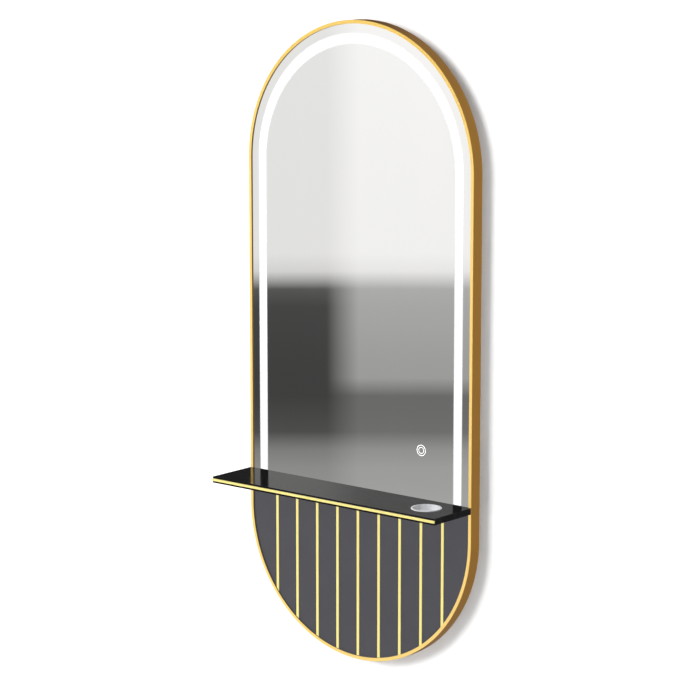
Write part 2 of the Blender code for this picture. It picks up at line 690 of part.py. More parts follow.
def junction_box():
    """A shallow box for the mains joint: tray, lid, terminal block, and the gland for the house cable."""
    left, right = BOX_X - BOX_LENGTH / 2, BOX_X + BOX_LENGTH / 2
    bottom, top = DRIVER_Z - BOX_HEIGHT / 2, DRIVER_Z + BOX_HEIGHT / 2
    lid_front = LID_BACK - LID_THICKNESS
    rim = lid_front - GAP
    tray = block("junction_box", (left, BOARD_SEAT, bottom), (right, rim, top), "white_plastic")
    floor = BOARD_SEAT + BOX_WALL
    low = (left + BOX_WALL, floor, bottom + BOX_WALL)
    high = (right - BOX_WALL, rim + OVERSHOOT, top - BOX_WALL)
    combine(tray, block("tray_hollow", low, high, "white_plastic"), "DIFFERENCE")
    lid = block("junction_box_lid", (left, lid_front, bottom), (right, LID_BACK, top), "white_plastic")
    bevel = lid.modifiers.new("edges", "BEVEL")
    bevel.width = LID_THICKNESS / 3
    bevel.segments = 1
    low = (BOX_X - BLOCK_HALF[0], floor + GAP, DRIVER_Z - BLOCK_HALF[1])
    high = (BOX_X + BLOCK_HALF[0], floor + GAP + BLOCK_DEPTH, DRIVER_Z + BLOCK_HALF[1])
    block("terminal_block", low, high, "black_plastic")
    middle = (BOARD_SEAT + rim) / 2
    entry = ((BOX_X, middle, bottom - OVERSHOOT), (BOX_X, middle, bottom + BOX_WALL + OVERSHOOT))
    drill(tray, [entry], GLAND_THREAD + GAP, GLAND_STEPS)
    cable_gland(middle, bottom)


def cable_gland(y, box_bottom):
    """The threaded end stands in the box's wall, and the nut and its nose hang below it."""
    inside = 2 * BOX_WALL
    nut_foot, nose = inside + 0.006, inside + 0.012
    profile = [(GLAND_BORE, 0), (GLAND_THREAD, 0), (GLAND_THREAD, inside), (GLAND_NUT, inside)]
    profile += [(GLAND_NUT, nut_foot), (GLAND_THREAD, nose), (GLAND_BORE, nose)]
    gland = lathe("cable_gland", profile, GLAND_STEPS, "black_plastic")
    gland.rotation_euler = (math.pi, 0, 0)
    gland.location = (BOX_X, y, box_bottom + inside - 1.5 * GAP)


# Leads


def smooth_route(points, spacing):
    """Points about spacing apart on a Catmull-Rom curve through the route's own points."""
    inner = [Vector(point) for point in points]
    padded = [2 * inner[0] - inner[1], *inner, 2 * inner[-1] - inner[-2]]
    route = []
    for a, b, c, d in zip(padded, padded[1:], padded[2:], padded[3:]):
        bends = (2 * b, c - a, 2 * a - 5 * b + 4 * c - d, 3 * b - a - 3 * c + d)
        steps = max(2, round((c - b).length / spacing))
        for t in (i / steps for i in range(steps)):
            route.append(sum((bend * t**n / 2 for n, bend in enumerate(bends)), Vector()))
    return [*route, inner[-1]]


def lead(name, points):
    """A round lead along a smooth curve through these points."""
    curve = bpy.data.curves.new(name, "CURVE")
    curve.dimensions = "3D"
    curve.bevel_depth = LEAD_RADIUS
    curve.bevel_resolution = 2
    curve.use_fill_caps = True
    curve.materials.append(material("cable_sheath"))
    route = smooth_route(points, 8 * LEAD_RADIUS)
    spline = curve.splines.new("POLY")
    spline.points.add(len(route) - 1)
    for point, place in zip(spline.points, route):
        point.co = (*place, 1)
    made = bpy.data.objects.new(name, curve)
    bpy.context.scene.collection.objects.link(made)


def out_of_hole(x, z, start):
    """A route from the depth start straight out of the board's back, ending in a quarter turn upwards."""
    turns = [math.radians(angle) for angle in (0, 30, 60, 90)]
    level = LEAD_Y - LEAD_BEND
    turned = [(x, level + LEAD_BEND * math.sin(t), z + LEAD_BEND * (1 - math.cos(t))) for t in turns]
    return [(x, start, z), *turned]


def on_board(*places):
    """Route points on the board's back, from (x, z) pairs."""
    return [(x, LEAD_Y, z) for x, z in places]


def leads():
    """The leads on the board's back: junction box to driver, sensor to driver and light to driver."""
    reach = DRIVER_LENGTH / 2 + GAP
    left, right = DRIVER_X - reach, DRIVER_X + reach
    box_end = BOX_X + BOX_LENGTH / 2 + GAP
    upper, lower = DRIVER_Z + LEAD_APART, DRIVER_Z - LEAD_APART
    across = ((box_end, upper), (box_end + 0.020, upper), (left - 0.065, upper - 0.004), (left, upper))
    lead("mains_lead", on_board(*across))
    x, z = SENSOR_X, SENSOR_Z
    rise = on_board((x + 0.006, z + 0.060), (x + 0.010, z + 0.130), (x + 0.004, lower - 0.020))
    turn = on_board((right + 0.016, lower - 0.002), (right, lower))
    lead("sensor_lead", out_of_hole(x, z, GLASS_BACK + 2 * GAP + SENSOR_THICKNESS) + rise + turn)
    x, z = LIGHT_LEAD_X, LIGHT_LEAD_Z
    rise = on_board((x - 0.012, z + 0.080), (x - 0.020, z + 0.200), (x - 0.024, upper - 0.040))
    turn = on_board((x - 0.050, upper + 0.004), (right + 0.030, upper + 0.004), (right, upper))
    lead("light_lead", out_of_hole(x, z, CHANNEL_BACK - CHANNEL_WALL) + rise + turn)


def lead_clips():
    """Two saddles over the light's lead, each with a foot on both sides."""
    inner, outer, foot = LEAD_RADIUS + 0.0013, LEAD_RADIUS + 0.0025, 0.008
    seat, ceiling = BOARD_SEAT, BOARD_SEAT + 2 * LEAD_RADIUS + 0.002
    toe, crown = seat + 0.001, ceiling + 0.001
    half = [(inner, ceiling), (inner, seat), (foot, seat), (foot, toe), (outer, toe), (outer, crown)]
    saddle = half + [(-u, y) for u, y in reversed(half)]
    for i, (back, up) in enumerate(((0.0112, 0.075), (0.0197, 0.195))):
        x, z = LIGHT_LEAD_X - back, LIGHT_LEAD_Z + up
        ends = (z - 0.003, z + 0.003)
        outline = [(x + u, y) for u, y in saddle]
        prism(f"lead_clip_{i + 1}", outline, lambda u, y, end, ends=ends: (u, y, ends[end]), "black_plastic")


def main():
    for old in list(bpy.data.objects):
        bpy.data.objects.remove(old)
    frame_band()
    mirror_glass()
    light_unit()
    backing_board()
    lower_panel()
    panel_inlays()
    shelf_board()
    shelf_edge_trim()
    dryer_ring()
    shelf_brackets()
    cleats()
    led_driver()
    touch_sensor()
    junction_box()
    leads()
    lead_clips()


main()
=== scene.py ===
"""The looks of a wall-hung salon mirror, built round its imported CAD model.

Metres, +Z up, in the model's own frame: the wall is the plane y = 0, the mirror faces -Y, and z = 0 is
the height of the centre of the outline's upper half circle. Places come from the model's boxes.
"""

import math

import bmesh
import bpy
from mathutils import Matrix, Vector


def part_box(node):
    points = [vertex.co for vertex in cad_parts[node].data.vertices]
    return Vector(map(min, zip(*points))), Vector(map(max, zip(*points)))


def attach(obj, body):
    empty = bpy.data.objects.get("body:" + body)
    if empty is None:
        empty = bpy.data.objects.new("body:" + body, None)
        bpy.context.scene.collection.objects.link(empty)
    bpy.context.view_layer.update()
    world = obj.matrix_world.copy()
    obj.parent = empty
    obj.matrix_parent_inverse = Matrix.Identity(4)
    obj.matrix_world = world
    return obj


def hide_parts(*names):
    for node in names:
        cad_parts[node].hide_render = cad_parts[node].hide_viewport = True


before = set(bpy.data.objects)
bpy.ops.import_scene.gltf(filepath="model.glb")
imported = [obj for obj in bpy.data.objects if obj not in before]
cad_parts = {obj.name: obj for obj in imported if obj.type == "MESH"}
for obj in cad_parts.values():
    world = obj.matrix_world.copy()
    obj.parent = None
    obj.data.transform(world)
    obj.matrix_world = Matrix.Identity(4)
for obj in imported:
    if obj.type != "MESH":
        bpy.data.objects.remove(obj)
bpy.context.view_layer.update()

GAP = 0.0003  # between pieces that touch on the real object
BODY = "mirror"

# Camera: where it looks from, round the point that it looks at
CAMERA_AZIMUTH = 39.707
CAMERA_ELEVATION = 10.203
CAMERA_DISTANCE = 7.65379
CAMERA_TARGET = (-0.05795, 0.0, -0.52280)
CAMERA_LENS = 140.627

# The outline, from the band's box
BAND_LOW, BAND_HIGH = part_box("frame_band")
RADIUS = BAND_HIGH.x
UPPER_CENTRE = BAND_HIGH.z - RADIUS
LOWER_CENTRE = BAND_LOW.z + RADIUS
MIDDLE_HEIGHT = (UPPER_CENTRE + LOWER_CENTRE) / 2
FRONT, BACK = BAND_LOW.y, BAND_HIGH.y
ARC_STEPS = 120

# Band
BAND_WALL = 0.002
LIP_WIDTH = 0.010
LIP_BACK = FRONT + 0.003
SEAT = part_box("backing_board")[1].y + GAP  # just behind the board
TAB_LENGTH = 0.026
TAB_WIDTH = 0.030
TAB_THICKNESS = 0.002
TAB_HEIGHTS = (-0.22, -0.70)

# Glass and its light
GLASS_LOW, GLASS_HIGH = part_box("mirror_glass")
GLASS_INSET = RADIUS - GLASS_HIGH.x
GLASS_BEVEL = 0.0008
CHANNEL_WIDTH = 0.030
CHANNEL_WALL = 0.0015
LIGHT_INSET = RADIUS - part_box("led_channel")[1].x + CHANNEL_WIDTH / 2
BAND_OF_LIGHT = 0.0235
BAND_FADE = 0.008
FILM = 0.00015  # how far an etched figure stands in front of the glass
FIGURE_FACE, FIGURE_ROOT = GLASS_LOW.y - FILM, GLASS_LOW.y - FILM / 3

# Lower panel
INLAYS = [f"panel_inlay_{i + 1}" for i in range(9)]

# Shelf
SHELF_LOW, SHELF_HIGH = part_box("shelf_board")
TRIM_LOW, TRIM_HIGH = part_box("shelf_edge_trim")
RING_LOW, RING_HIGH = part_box("dryer_ring")
RING_BORE = 0.037
RING_SLEEVE = 0.0385

# Screws
HEAD_RADIUS = 0.004
HEAD_HEIGHT = 0.0024
SHANK_RADIUS = 0.002
HOLE_RADIUS = 0.0024
HOLE_DEPTH = 0.0125
OVERSHOOT = 0.002  # how far a cutter passes the face that it enters by
SCREWS = {  # prefix: (how many, outward axis, its sign)
    "frame_screw": (6, 1, 1),
    "cleat_screw": (3, 1, 1),
    "driver_screw": (2, 1, 1),
    "bracket_wall_screw": (4, 1, -1),
    "bracket_shelf_screw": (4, 2, -1),
}

# Electrical pieces
LEAD_RADIUS = 0.0015
LEAD_BEND = 0.004
LEAD_HOLE = 0.0035
LEAD_Y = SEAT + LEAD_RADIUS
LEAD_APART = 0.014
DRIVER_EAR = 0.014
TOUCH_RINGS = {"outer": (0.0139, 0.0155), "inner": (0.0078, 0.0092)}  # inner and outer radius

# Colours
GOLD = (1.0, 0.70, 0.22)
# Painted shade: a darker copy of GOLD for the band's outer side
SIDE_SHADE_GOLD = (1.0, 0.50, 0.10)
LEMON_GOLD = (0.90, 0.79, 0.27)
# Painted shade: the darker gold that the rim turns to round the top
RIM_TOP_SHADE = (0.80, 0.54, 0.13)
TOP_SHADE_HEIGHTS = (-0.05, 0.32)  # the heights over which painted shade darkens the rim's gold towards the top


# Places that several pieces share


def middle(node):
    low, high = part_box(node)
    return (low + high) / 2


def screw_places(prefix):
    return [middle(f"{prefix}_{i + 1}") for i in range(SCREWS[prefix][0])]


def screw_holes(prefix):
    """(x, z) of the screws that run along Y."""
    return [(place.x, place.z) for place in screw_places(prefix)]


def through(low, high):
    """The levels of a cutter that passes right through from low to high."""
    return low - OVERSHOOT, high + OVERSHOOT


def light_lead_place():
    """(x, z) of the hole that the light's lead leaves its channel by."""
    return RADIUS - LIGHT_INSET - 0.009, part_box("led_channel")[0].z + 0.020


def driver_body():
    """The driver's box without its ears."""
    low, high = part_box("led_driver")
    return Vector((low.x + DRIVER_EAR, low.y, low.z)), Vector((high.x - DRIVER_EAR, high.y, high.z))


# Materials


class Nodes:
    """A node tree being made. An input takes a number, a colour or another node's output."""

    def __init__(self, tree, space):
        self.tree = tree
        self.place = self.add("TexCoord").outputs[space]

    def add(self, kind, inputs=(), **settings):
        made = self.tree.nodes.new(f"ShaderNode{kind}")
        for key, value in settings.items():
            setattr(made, key, value)
        self.feed(made, inputs)
        return made

    def feed(self, target, inputs):
        for key, value in dict(inputs).items():
            if isinstance(value, bpy.types.NodeSocket):
                self.tree.links.new(value, target.inputs[key])
            else:
                target.inputs[key].default_value = value

    def noise(self, scale, stretch=(1, 1, 1), detail=3.0, rough=0.5):
        place = self.add("Mapping", {"Vector": self.place, "Scale": stretch}).outputs[0]
        inputs = {"Vector": place, "Scale": scale, "Detail": detail, "Roughness": rough}
        return self.add("TexNoise", inputs).outputs["Fac"]

    def cells(self, scale, feature="F1"):
        inputs = {"Vector": self.place, "Scale": scale}
        return self.add("TexVoronoi", inputs, feature=feature).outputs["Distance"]

    def level(self, value, low, high, start=0.3, end=0.7):
        """value, stretched from start..end to low..high, and held at those ends."""
        inputs = {"Value": value, "From Min": start, "From Max": end, "To Min": low, "To Max": high}
        return self.add("MapRange", inputs).outputs[0]

    def maths(self, operation, *values):
        return self.add("Math", dict(enumerate(values)), operation=operation).outputs[0]

    def blend(self, share, dark, light):
        """A colour between two others."""
        mix = self.add("Mix", {0: share}, data_type="RGBA")
        for index, colour in ((6, dark), (7, light)):
            self.feed(mix, {index: colour if isinstance(colour, bpy.types.NodeSocket) else (*colour, 1.0)})
        return mix.outputs[2]

    def mottle(self, value, dark, light):
        """A colour between two others, from the middle part of a noise's values."""
        return self.blend(self.level(value, 0.0, 1.0), dark, light)

    def relief(self, height, depth):
        """A normal from a height of 0 to 1 that stands for depth metres."""
        return self.add("Bump", {"Height": height, "Strength": 1.0, "Distance": depth}).outputs[0]


MATERIALS = {}  # each finish, by its name


class Finish(Nodes):
    """A material being made on one Principled shader."""

    def __init__(self, name, space="Object"):
        self.material = MATERIALS[name] = bpy.data.materials.new(name)
        self.material.use_nodes = True
        super().__init__(self.material.node_tree, space)
        self.shader = self.tree.nodes["Principled BSDF"]

    def set(self, **inputs):
        """Feeds the shader's inputs, named with _ for a space."""
        self.feed(self.shader, {key.replace("_", " "): value for key, value in inputs.items()})
        return self.material


def shaded(colour, share):
    return tuple(channel * share for channel in colour)


def brushed(name, colour, roughness, stretch, space="Object", metallic=1.0):
    """Metal with fine lines along the axis that stretch makes long, and faint handling marks."""
    made = Finish(name, space)
    line = made.noise(1400.0, stretch, detail=2.0)
    cloud = made.noise(9.0, detail=2.0)
    worn = made.maths("ADD", made.maths("MULTIPLY", line, 0.6), made.maths("MULTIPLY", cloud, 0.4))
    tone = made.mottle(worn, shaded(colour, 0.93), colour)
    rough = made.level(worn, roughness - 0.05, roughness + 0.05)
    return made.set(Base_Color=tone, Metallic=metallic, Roughness=rough, Normal=made.relief(line, 6e-6))


def rim_gold():
    """The rim's gold, darkened round the top by painted shade."""
    material = brushed("gold_steel", GOLD, 0.34, (0.02, 1, 1), "UV", metallic=0.55)
    made = Nodes(material.node_tree, "Object")
    height = made.add("SeparateXYZ", {0: made.place}).outputs[2]
    shader = material.node_tree.nodes["Principled BSDF"]
    tone = shader.inputs["Base Color"].links[0].from_socket
    # painted shade: the gold darkens towards the top
    depth = made.level(height, 0.0, 1.0, *TOP_SHADE_HEIGHTS)
    made.feed(shader, {"Base Color": made.blend(depth, tone, RIM_TOP_SHADE)})
    return material


def lacquer(name, colour, roughness, peel, gloss):
    """Sprayed lacquer: a soft orange peel, a few specks of dust and a slightly uneven tone."""
    made = Finish(name)
    cloud = made.noise(5.0, detail=2.0)
    dust = made.level(made.cells(160.0), 1.0, 0.0, 0.02, 0.05)
    tone = made.mottle(cloud, shaded(colour, 0.95), shaded(colour, 1.05))
    tone = made.blend(made.maths("MULTIPLY", dust, 0.05), tone, (0.5, 0.5, 0.5))
    rough = made.level(made.noise(30.0), roughness * 0.92, roughness * 1.08)
    rough = made.maths("ADD", rough, made.maths("MULTIPLY", dust, 0.1))
    normal = made.relief(made.noise(260.0, detail=1.0), peel)
    made.set(Base_Color=tone, Roughness=rough, Normal=normal, Specular_IOR_Level=gloss)


def moulded(name, colour, roughness, depth=1.2e-5, grain=2600.0):
    """Moulded plastic or powder coat: an even fine grain with a little wear."""
    made = Finish(name)
    grains = made.noise(grain, detail=1.0)
    cloud = made.noise(24.0)
    tone = made.mottle(cloud, shaded(colour, 0.92), shaded(colour, 1.06))
    rough = made.level(cloud, roughness + 0.06, roughness - 0.06)
    made.set(Base_Color=tone, Roughness=rough, Normal=made.relief(grains, depth))


def fibreboard():
    """Pressed wood fibre: short pale and dark fibres on a brown ground."""
    made = Finish("fibreboard")
    fibres = made.noise(420.0, (1, 1, 3.5), detail=4.0, rough=0.7)
    across = made.noise(420.0, (3.5, 1, 1), detail=4.0, rough=0.7)
    cloud = made.noise(7.0)
    ground = made.mottle(cloud, (0.29, 0.19, 0.115), (0.36, 0.245, 0.15))
    ground = made.blend(made.level(fibres, 0.0, 0.7, 0.5, 0.75), ground, (0.50, 0.38, 0.26))
    tone = made.blend(made.level(across, 0.0, 0.7, 0.55, 0.8), ground, (0.16, 0.10, 0.06))
    height = made.maths("ADD", fibres, across)
    rough = made.level(cloud, 0.78, 0.9)
    made.set(Base_Color=tone, Roughness=rough, Normal=made.relief(height, 4e-5))


def zinc():
    """Bright zinc plate with the faint yellow and blue clouds of its passivation."""
    made = Finish("zinc_steel")
    cloud = made.noise(600.0, detail=2.0)
    tone = made.mottle(cloud, (0.58, 0.57, 0.50), (0.72, 0.74, 0.77))
    rough = made.level(made.noise(1500.0), 0.28, 0.42)
    made.set(Base_Color=tone, Metallic=1.0, Roughness=rough, Normal=made.relief(cloud, 1e-5))


def silvering():
    """The mirror's face: clean silvering with the faintest film of wiping marks."""
    made = Finish("mirror")
    wipes = made.noise(6.0, (1, 1, 0.25), detail=4.0, rough=0.6)
    tone = made.mottle(wipes, (0.915, 0.925, 0.925), (0.935, 0.94, 0.945))
    made.set(Base_Color=tone, Metallic=1.0, Roughness=made.level(wipes, 0.006, 0.02))


def glass_edge():
    """The ground and polished edge of the pane, green as thick glass is."""
    made = Finish("glass_edge")
    ground = made.noise(900.0)
    tone = made.mottle(ground, (0.16, 0.30, 0.25), (0.30, 0.46, 0.40))
    made.set(Base_Color=tone, Roughness=made.level(ground, 0.08, 0.2), IOR=1.52)


def etched_light():
    """The etched band: it glows white, and fades into the silvering along both its edges."""
    made = Finish("opal_acrylic", "UV")
    across = made.add("SeparateXYZ", {0: made.place}).outputs[1]
    core = BAND_OF_LIGHT / 2 - BAND_FADE / 2
    lit = made.level(made.maths("ABSOLUTE", across), 1.0, 0.0, core, core + BAND_FADE)
    frost = made.noise(900.0, detail=2.0)
    strength = made.maths("MULTIPLY", lit, made.level(frost, 0.85, 0.95))
    tone = made.blend(lit, (0.93, 0.935, 0.94), (0.25, 0.25, 0.25))
    made.set(Emission_Color=(1.0, 1.0, 1.0, 1.0), Emission_Strength=strength)
    metal = made.maths("SUBTRACT", 1.0, lit)
    made.set(Base_Color=tone, Metallic=metal, Roughness=made.level(lit, 0.015, 0.55, 0.0, 1.0))


def touch_light():
    """The etched touch mark, which glows faintly."""
    made = Finish("touch_light")
    frost = made.noise(900.0, detail=2.0)
    made.set(Emission_Color=(1.0, 1.0, 1.0, 1.0), Emission_Strength=made.level(frost, 0.6, 0.7))
    made.set(Base_Color=made.blend(frost, (0.8, 0.8, 0.8), (0.9, 0.9, 0.9)), Roughness=0.6)


def foam():
    """Closed-cell foam."""
    made = Finish("foam_tape")
    cells = made.cells(900.0)
    tone = made.blend(made.level(cells, 0.0, 1.0, 0.0, 0.6), (0.02, 0.02, 0.02), (0.07, 0.07, 0.07))
    made.set(Base_Color=tone, Roughness=0.9, Normal=made.relief(cells, 2e-4))


def circuit():
    """White solder mask over copper tracks."""
    made = Finish("circuit_board")
    track = made.level(made.cells(300.0, feature="DISTANCE_TO_EDGE"), 1.0, 0.0, 0.04, 0.08)
    tone = made.blend(track, (0.80, 0.80, 0.76), (0.66, 0.62, 0.50))
    rough = made.level(track, 0.42, 0.3, 0.0, 1.0)
    made.set(Base_Color=tone, Roughness=rough, Normal=made.relief(track, 3e-5))


rim_gold()
# Painted shade: the band's outer side takes a darker copy of the gold
brushed("shaded_side_gold", SIDE_SHADE_GOLD, 0.34, (0.02, 1, 1), "UV")
# Painted shade: the lip's inner edge is dark brown, as shade in the recess by the glass
brushed("lip_edge_shade", (0.20, 0.12, 0.05), 0.45, (0.02, 1, 1), "UV")
brushed("pale_gold", LEMON_GOLD, 0.34, (1, 1, 0.02), metallic=0.4)
brushed("trim_gold", LEMON_GOLD, 0.34, (0.02, 1, 1), metallic=0.4)
silvering()
glass_edge()
moulded("back_paint", (0.20, 0.23, 0.24), 0.5, grain=900.0)
# Painted shade: near black under the light band, in place of the shadowed channel behind it
moulded("channel_shade", (0.01, 0.01, 0.011), 0.6)
etched_light()
touch_light()
moulded("opal_sheet", (0.86, 0.86, 0.86), 0.5, grain=1800.0)
lacquer("grey_lacquer", (0.041, 0.040, 0.048), 0.42, 6e-6, 0.5)
lacquer("black_lacquer", (0.004, 0.0038, 0.0044), 0.13, 3e-6, 0.22)
brushed("stainless_steel", (0.76, 0.77, 0.81), 0.3, (0.02, 1, 1), "UV", metallic=0.5)
brushed("aluminium", (0.78, 0.79, 0.80), 0.36, (0.02, 1, 1))
moulded("black_steel", (0.022, 0.022, 0.023), 0.48, 3e-5, 1300.0)
zinc()
fibreboard()
moulded("white_plastic", (0.78, 0.78, 0.75), 0.46)
moulded("black_plastic", (0.025, 0.025, 0.026), 0.5)
moulded("cable_sheath", (0.05, 0.05, 0.052), 0.5, 8e-6, 1800.0)
foam()
circuit()


# Outlines


def arc(centre_z, start, end):
    """Stations (x, z, outward x, outward z) on the outline's arc. Angles are in degrees from +X."""
    turns = [math.radians(start + (end - start) * i / ARC_STEPS) for i in range(ARC_STEPS + 1)]
    normals = [(math.cos(t), math.sin(t)) for t in turns]
    return [(RADIUS * nx, centre_z + RADIUS * nz, nx, nz) for nx, nz in normals]


def pill():
    """The whole outline."""
    return arc(UPPER_CENTRE, 0, 180) + arc(LOWER_CENTRE, 180, 360)


def arch(bottom):
    """The outline from bottom on the right, over the top, to bottom on the left."""
    return [(RADIUS, bottom, 1, 0), *arc(UPPER_CENTRE, 0, 180), (-RADIUS, bottom, -1, 0)]


def cradle(top):
    """The outline from top on the left, round the foot, to top on the right."""
    return [(-RADIUS, top, -1, 0), *arc(LOWER_CENTRE, 180, 360), (RADIUS, top, 1, 0)]


def moved_in(stations, inset):
    return [(x - inset * nx, z - inset * nz) for x, z, nx, nz in stations]


def filleted(corners, radii, steps=4):
    """The closed outline with each corner rounded by its own radius."""
    points = [Vector(corner) for corner in corners]
    rounded = []
    for i, (corner, radius) in enumerate(zip(points, radii)):
        if radius == 0:
            rounded.append(tuple(corner))
            continue
        before = (points[i - 1] - corner).normalized()
        after = (points[(i + 1) % len(points)] - corner).normalized()
        half = before.angle(after) / 2
        centre = corner + (before + after).normalized() * radius / math.sin(half)
        reach = radius / math.tan(half)
        start, end = corner + before * reach - centre, corner + after * reach - centre
        rounded += [tuple(centre + start.slerp(end, k / steps) * radius) for k in range(steps + 1)]
    return rounded


def rectangle(low, high):
    return [low, (high[0], low[1]), high, (low[0], high[1])]


def rounded_box(low, high, radius, inset=0.0):
    """The (x, z) outline of a box, with round corners."""
    outline = rectangle((low.x + inset, low.z + inset), (high.x - inset, high.z - inset))
    return filleted(outline, (radius,) * 4)


def circle(centre, radius, steps):
    turns = [2 * math.pi * i / steps for i in range(steps)]
    return [(centre[0] + radius * math.cos(t), centre[1] + radius * math.sin(t)) for t in turns]


# Meshes


def lengths(points, closed):
    """How far along the line each point is, and at the end the whole length."""
    chain = [Vector(point) for point in points]
    chain.append(chain[0] if closed else chain[-1])
    run = [0.0]
    for a, b in zip(chain, chain[1:]):
        run.append(run[-1] + (b - a).length)
    return run


def linked(name, data):
    """A new object in the scene."""
    made = bpy.data.objects.new(name, data)
    bpy.context.scene.collection.objects.link(made)
    return made


def add_object(name, shape, *materials):
    """An object from a bmesh, with its faces turned outwards and its round parts smooth."""
    bmesh.ops.recalc_face_normals(shape, faces=shape.faces)
    if shape.calc_volume(signed=True) < 0:
        bmesh.ops.reverse_faces(shape, faces=shape.faces)
    mesh = bpy.data.meshes.new(name)
    shape.to_mesh(mesh)
    shape.free()
    for material in materials:
        mesh.materials.append(MATERIALS[material])
    mesh.shade_smooth()
    mesh.set_sharp_from_angle(angle=math.radians(32))
    return linked(name, mesh)


def skin(name, rings, run, around, materials, strips, closed):
    """Faces between rings of points. The map's (u, v) is (run, around), and strips are material indices."""
    shape = bmesh.new()
    uv = shape.loops.layers.uv.new("run")
    rings = [[shape.verts.new(point) for point in ring] for ring in rings]
    for i in range(len(rings) if closed else len(rings) - 1):
        here, there = rings[i], rings[(i + 1) % len(rings)]
        for j, strip in enumerate(strips):
            k = (j + 1) % len(strips)
            face = shape.faces.new((here[j], here[k], there[k], there[j]))
            face.material_index = strip
            for loop, (u, v) in zip(face.loops, ((i, j), (i, j + 1), (i + 1, j + 1), (i + 1, j))):
                loop[uv].uv = run[u], around[v]
    if not closed:
        shape.faces.new(rings[0])
        shape.faces.new(reversed(rings[-1]))
    return add_object(name, shape, *materials)


def sweep(name, stations, section, materials=(), closed=False, side=lambda a, b: 0):
    """Skins a section of (inset, y) points along the stations. side(a, b) picks the material of one strip.

    The map's u is the distance along the outline, and its v the distance round the section.
    """
    rings = [[(x - i * nx, y, z - i * nz) for i, y in section] for x, z, nx, nz in stations]
    run = lengths([(x, z) for x, z, *_ in stations], closed)
    strips = [side(a, b) for a, b in zip(section, section[1:] + section[:1])]
    return skin(name, rings, run, lengths(section, True), materials, strips, closed)


def add_prism(shape, outline, place, levels):
    """A closed prism: place(u, v, level) turns a point of the outline into 3-D."""
    first, second = ([shape.verts.new(place(u, v, level)) for u, v in outline] for level in levels)
    for i in range(len(outline)):
        j = (i + 1) % len(outline)
        shape.faces.new((first[i], first[j], second[j], second[i]))
    shape.faces.new(reversed(first))
    shape.faces.new(second)


def prism(name, outline, place, levels, *materials):
    shape = bmesh.new()
    add_prism(shape, outline, place, levels)
    return add_object(name, shape, *materials)


def upright(u, v, level):
    """A point of an (x, z) outline, at y = level."""
    return u, level, v


def flat(u, v, level):
    """A point of an (x, y) outline, at z = level."""
    return u, v, level


def across(u, v, level):
    """A point of a (y, z) outline, at x = level."""
    return level, u, v


def rod(centre, levels, radius=HOLE_RADIUS, steps=32, place=upright):
    """A round prism, as combine_prisms takes it."""
    return circle(centre, radius, steps), place, levels


def lathe(name, profile, steps, materials=(), axis=(0, 0), grip=lambda turn, radius: radius):
    """A closed loop of (radius, z) points turned about Z at axis. grip may ripple the radius."""
    rings = []
    for turn in (2 * math.pi * k / steps for k in range(steps)):
        gripped = [(grip(turn, r), z) for r, z in profile]
        rings.append([(axis[0] + r * math.cos(turn), axis[1] + r * math.sin(turn), z) for r, z in gripped])
    widest = max(r for r, _ in profile)
    run = [2 * math.pi * widest * i / steps for i in range(steps + 1)]
    return skin(name, rings, run, lengths(profile, True), materials, [0] * len(profile), True)


def applied(piece):
    """The piece, with its modifiers made part of its mesh."""
    bpy.context.view_layer.update()
    graph = bpy.context.evaluated_depsgraph_get()
    mesh = bpy.data.meshes.new_from_object(piece.evaluated_get(graph))
    mesh.name = piece.data.name
    piece.modifiers.clear()
    piece.data = mesh
    return piece


def combine(piece, helper, operation):
    """A Boolean of the helper on the piece. The helper is used up."""
    modifier = piece.modifiers.new(operation.lower(), "BOOLEAN")
    modifier.operation = operation
    modifier.object = helper
    modifier.solver = "EXACT"
    applied(piece)
    bpy.data.objects.remove(helper)


def combine_prisms(piece, prisms, operation):
    shape = bmesh.new()
    for outline, place, levels in prisms:
        add_prism(shape, outline, place, levels)
    combine(piece, add_object("helper", shape), operation)


def cut(piece, *prisms):
    """Cuts away prisms, each given as (outline, place, levels)."""
    combine_prisms(piece, prisms, "DIFFERENCE")


def fuse(piece, *prisms):
    """Joins on prisms, given as for cut."""
    combine_prisms(piece, prisms, "UNION")


def bevelled(piece, width, segments=2):
    """Rounds the piece's edges."""
    bevel = piece.modifiers.new("edges", "BEVEL")
    bevel.width = width
    bevel.segments = segments
    bevel.limit_method = "ANGLE"
    bevel.angle_limit = math.radians(32)
    bevel.miter_outer = "MITER_ARC"
    return applied(piece)


def smoothed(piece):
    """Shades round parts smooth, and keeps flat faces flat."""
    piece.data.shade_smooth()
    piece.data.set_sharp_from_angle(angle=math.radians(40))
    normals = piece.modifiers.new("normals", "WEIGHTED_NORMAL")
    normals.keep_sharp = True
    return piece


def soften(piece, width, segments=2):
    """Rounds the piece's edges, then shades it."""
    return smoothed(bevelled(piece, width, segments))


def settle(piece, slot, *nodes, body=BODY):
    """The piece rides on its body and stands for its nodes. Unless it has a finish, it takes the slot's."""
    if not piece.data.materials:
        piece.data.materials.append(MATERIALS[slot])
    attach(piece, body)
    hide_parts(*nodes)
    return piece


def unshadowed(piece):
    """Keeps the piece's shadow off the wall, and its image out of the glass."""
    piece.visible_shadow = False
    piece.visible_glossy = False


# The band and what fills it


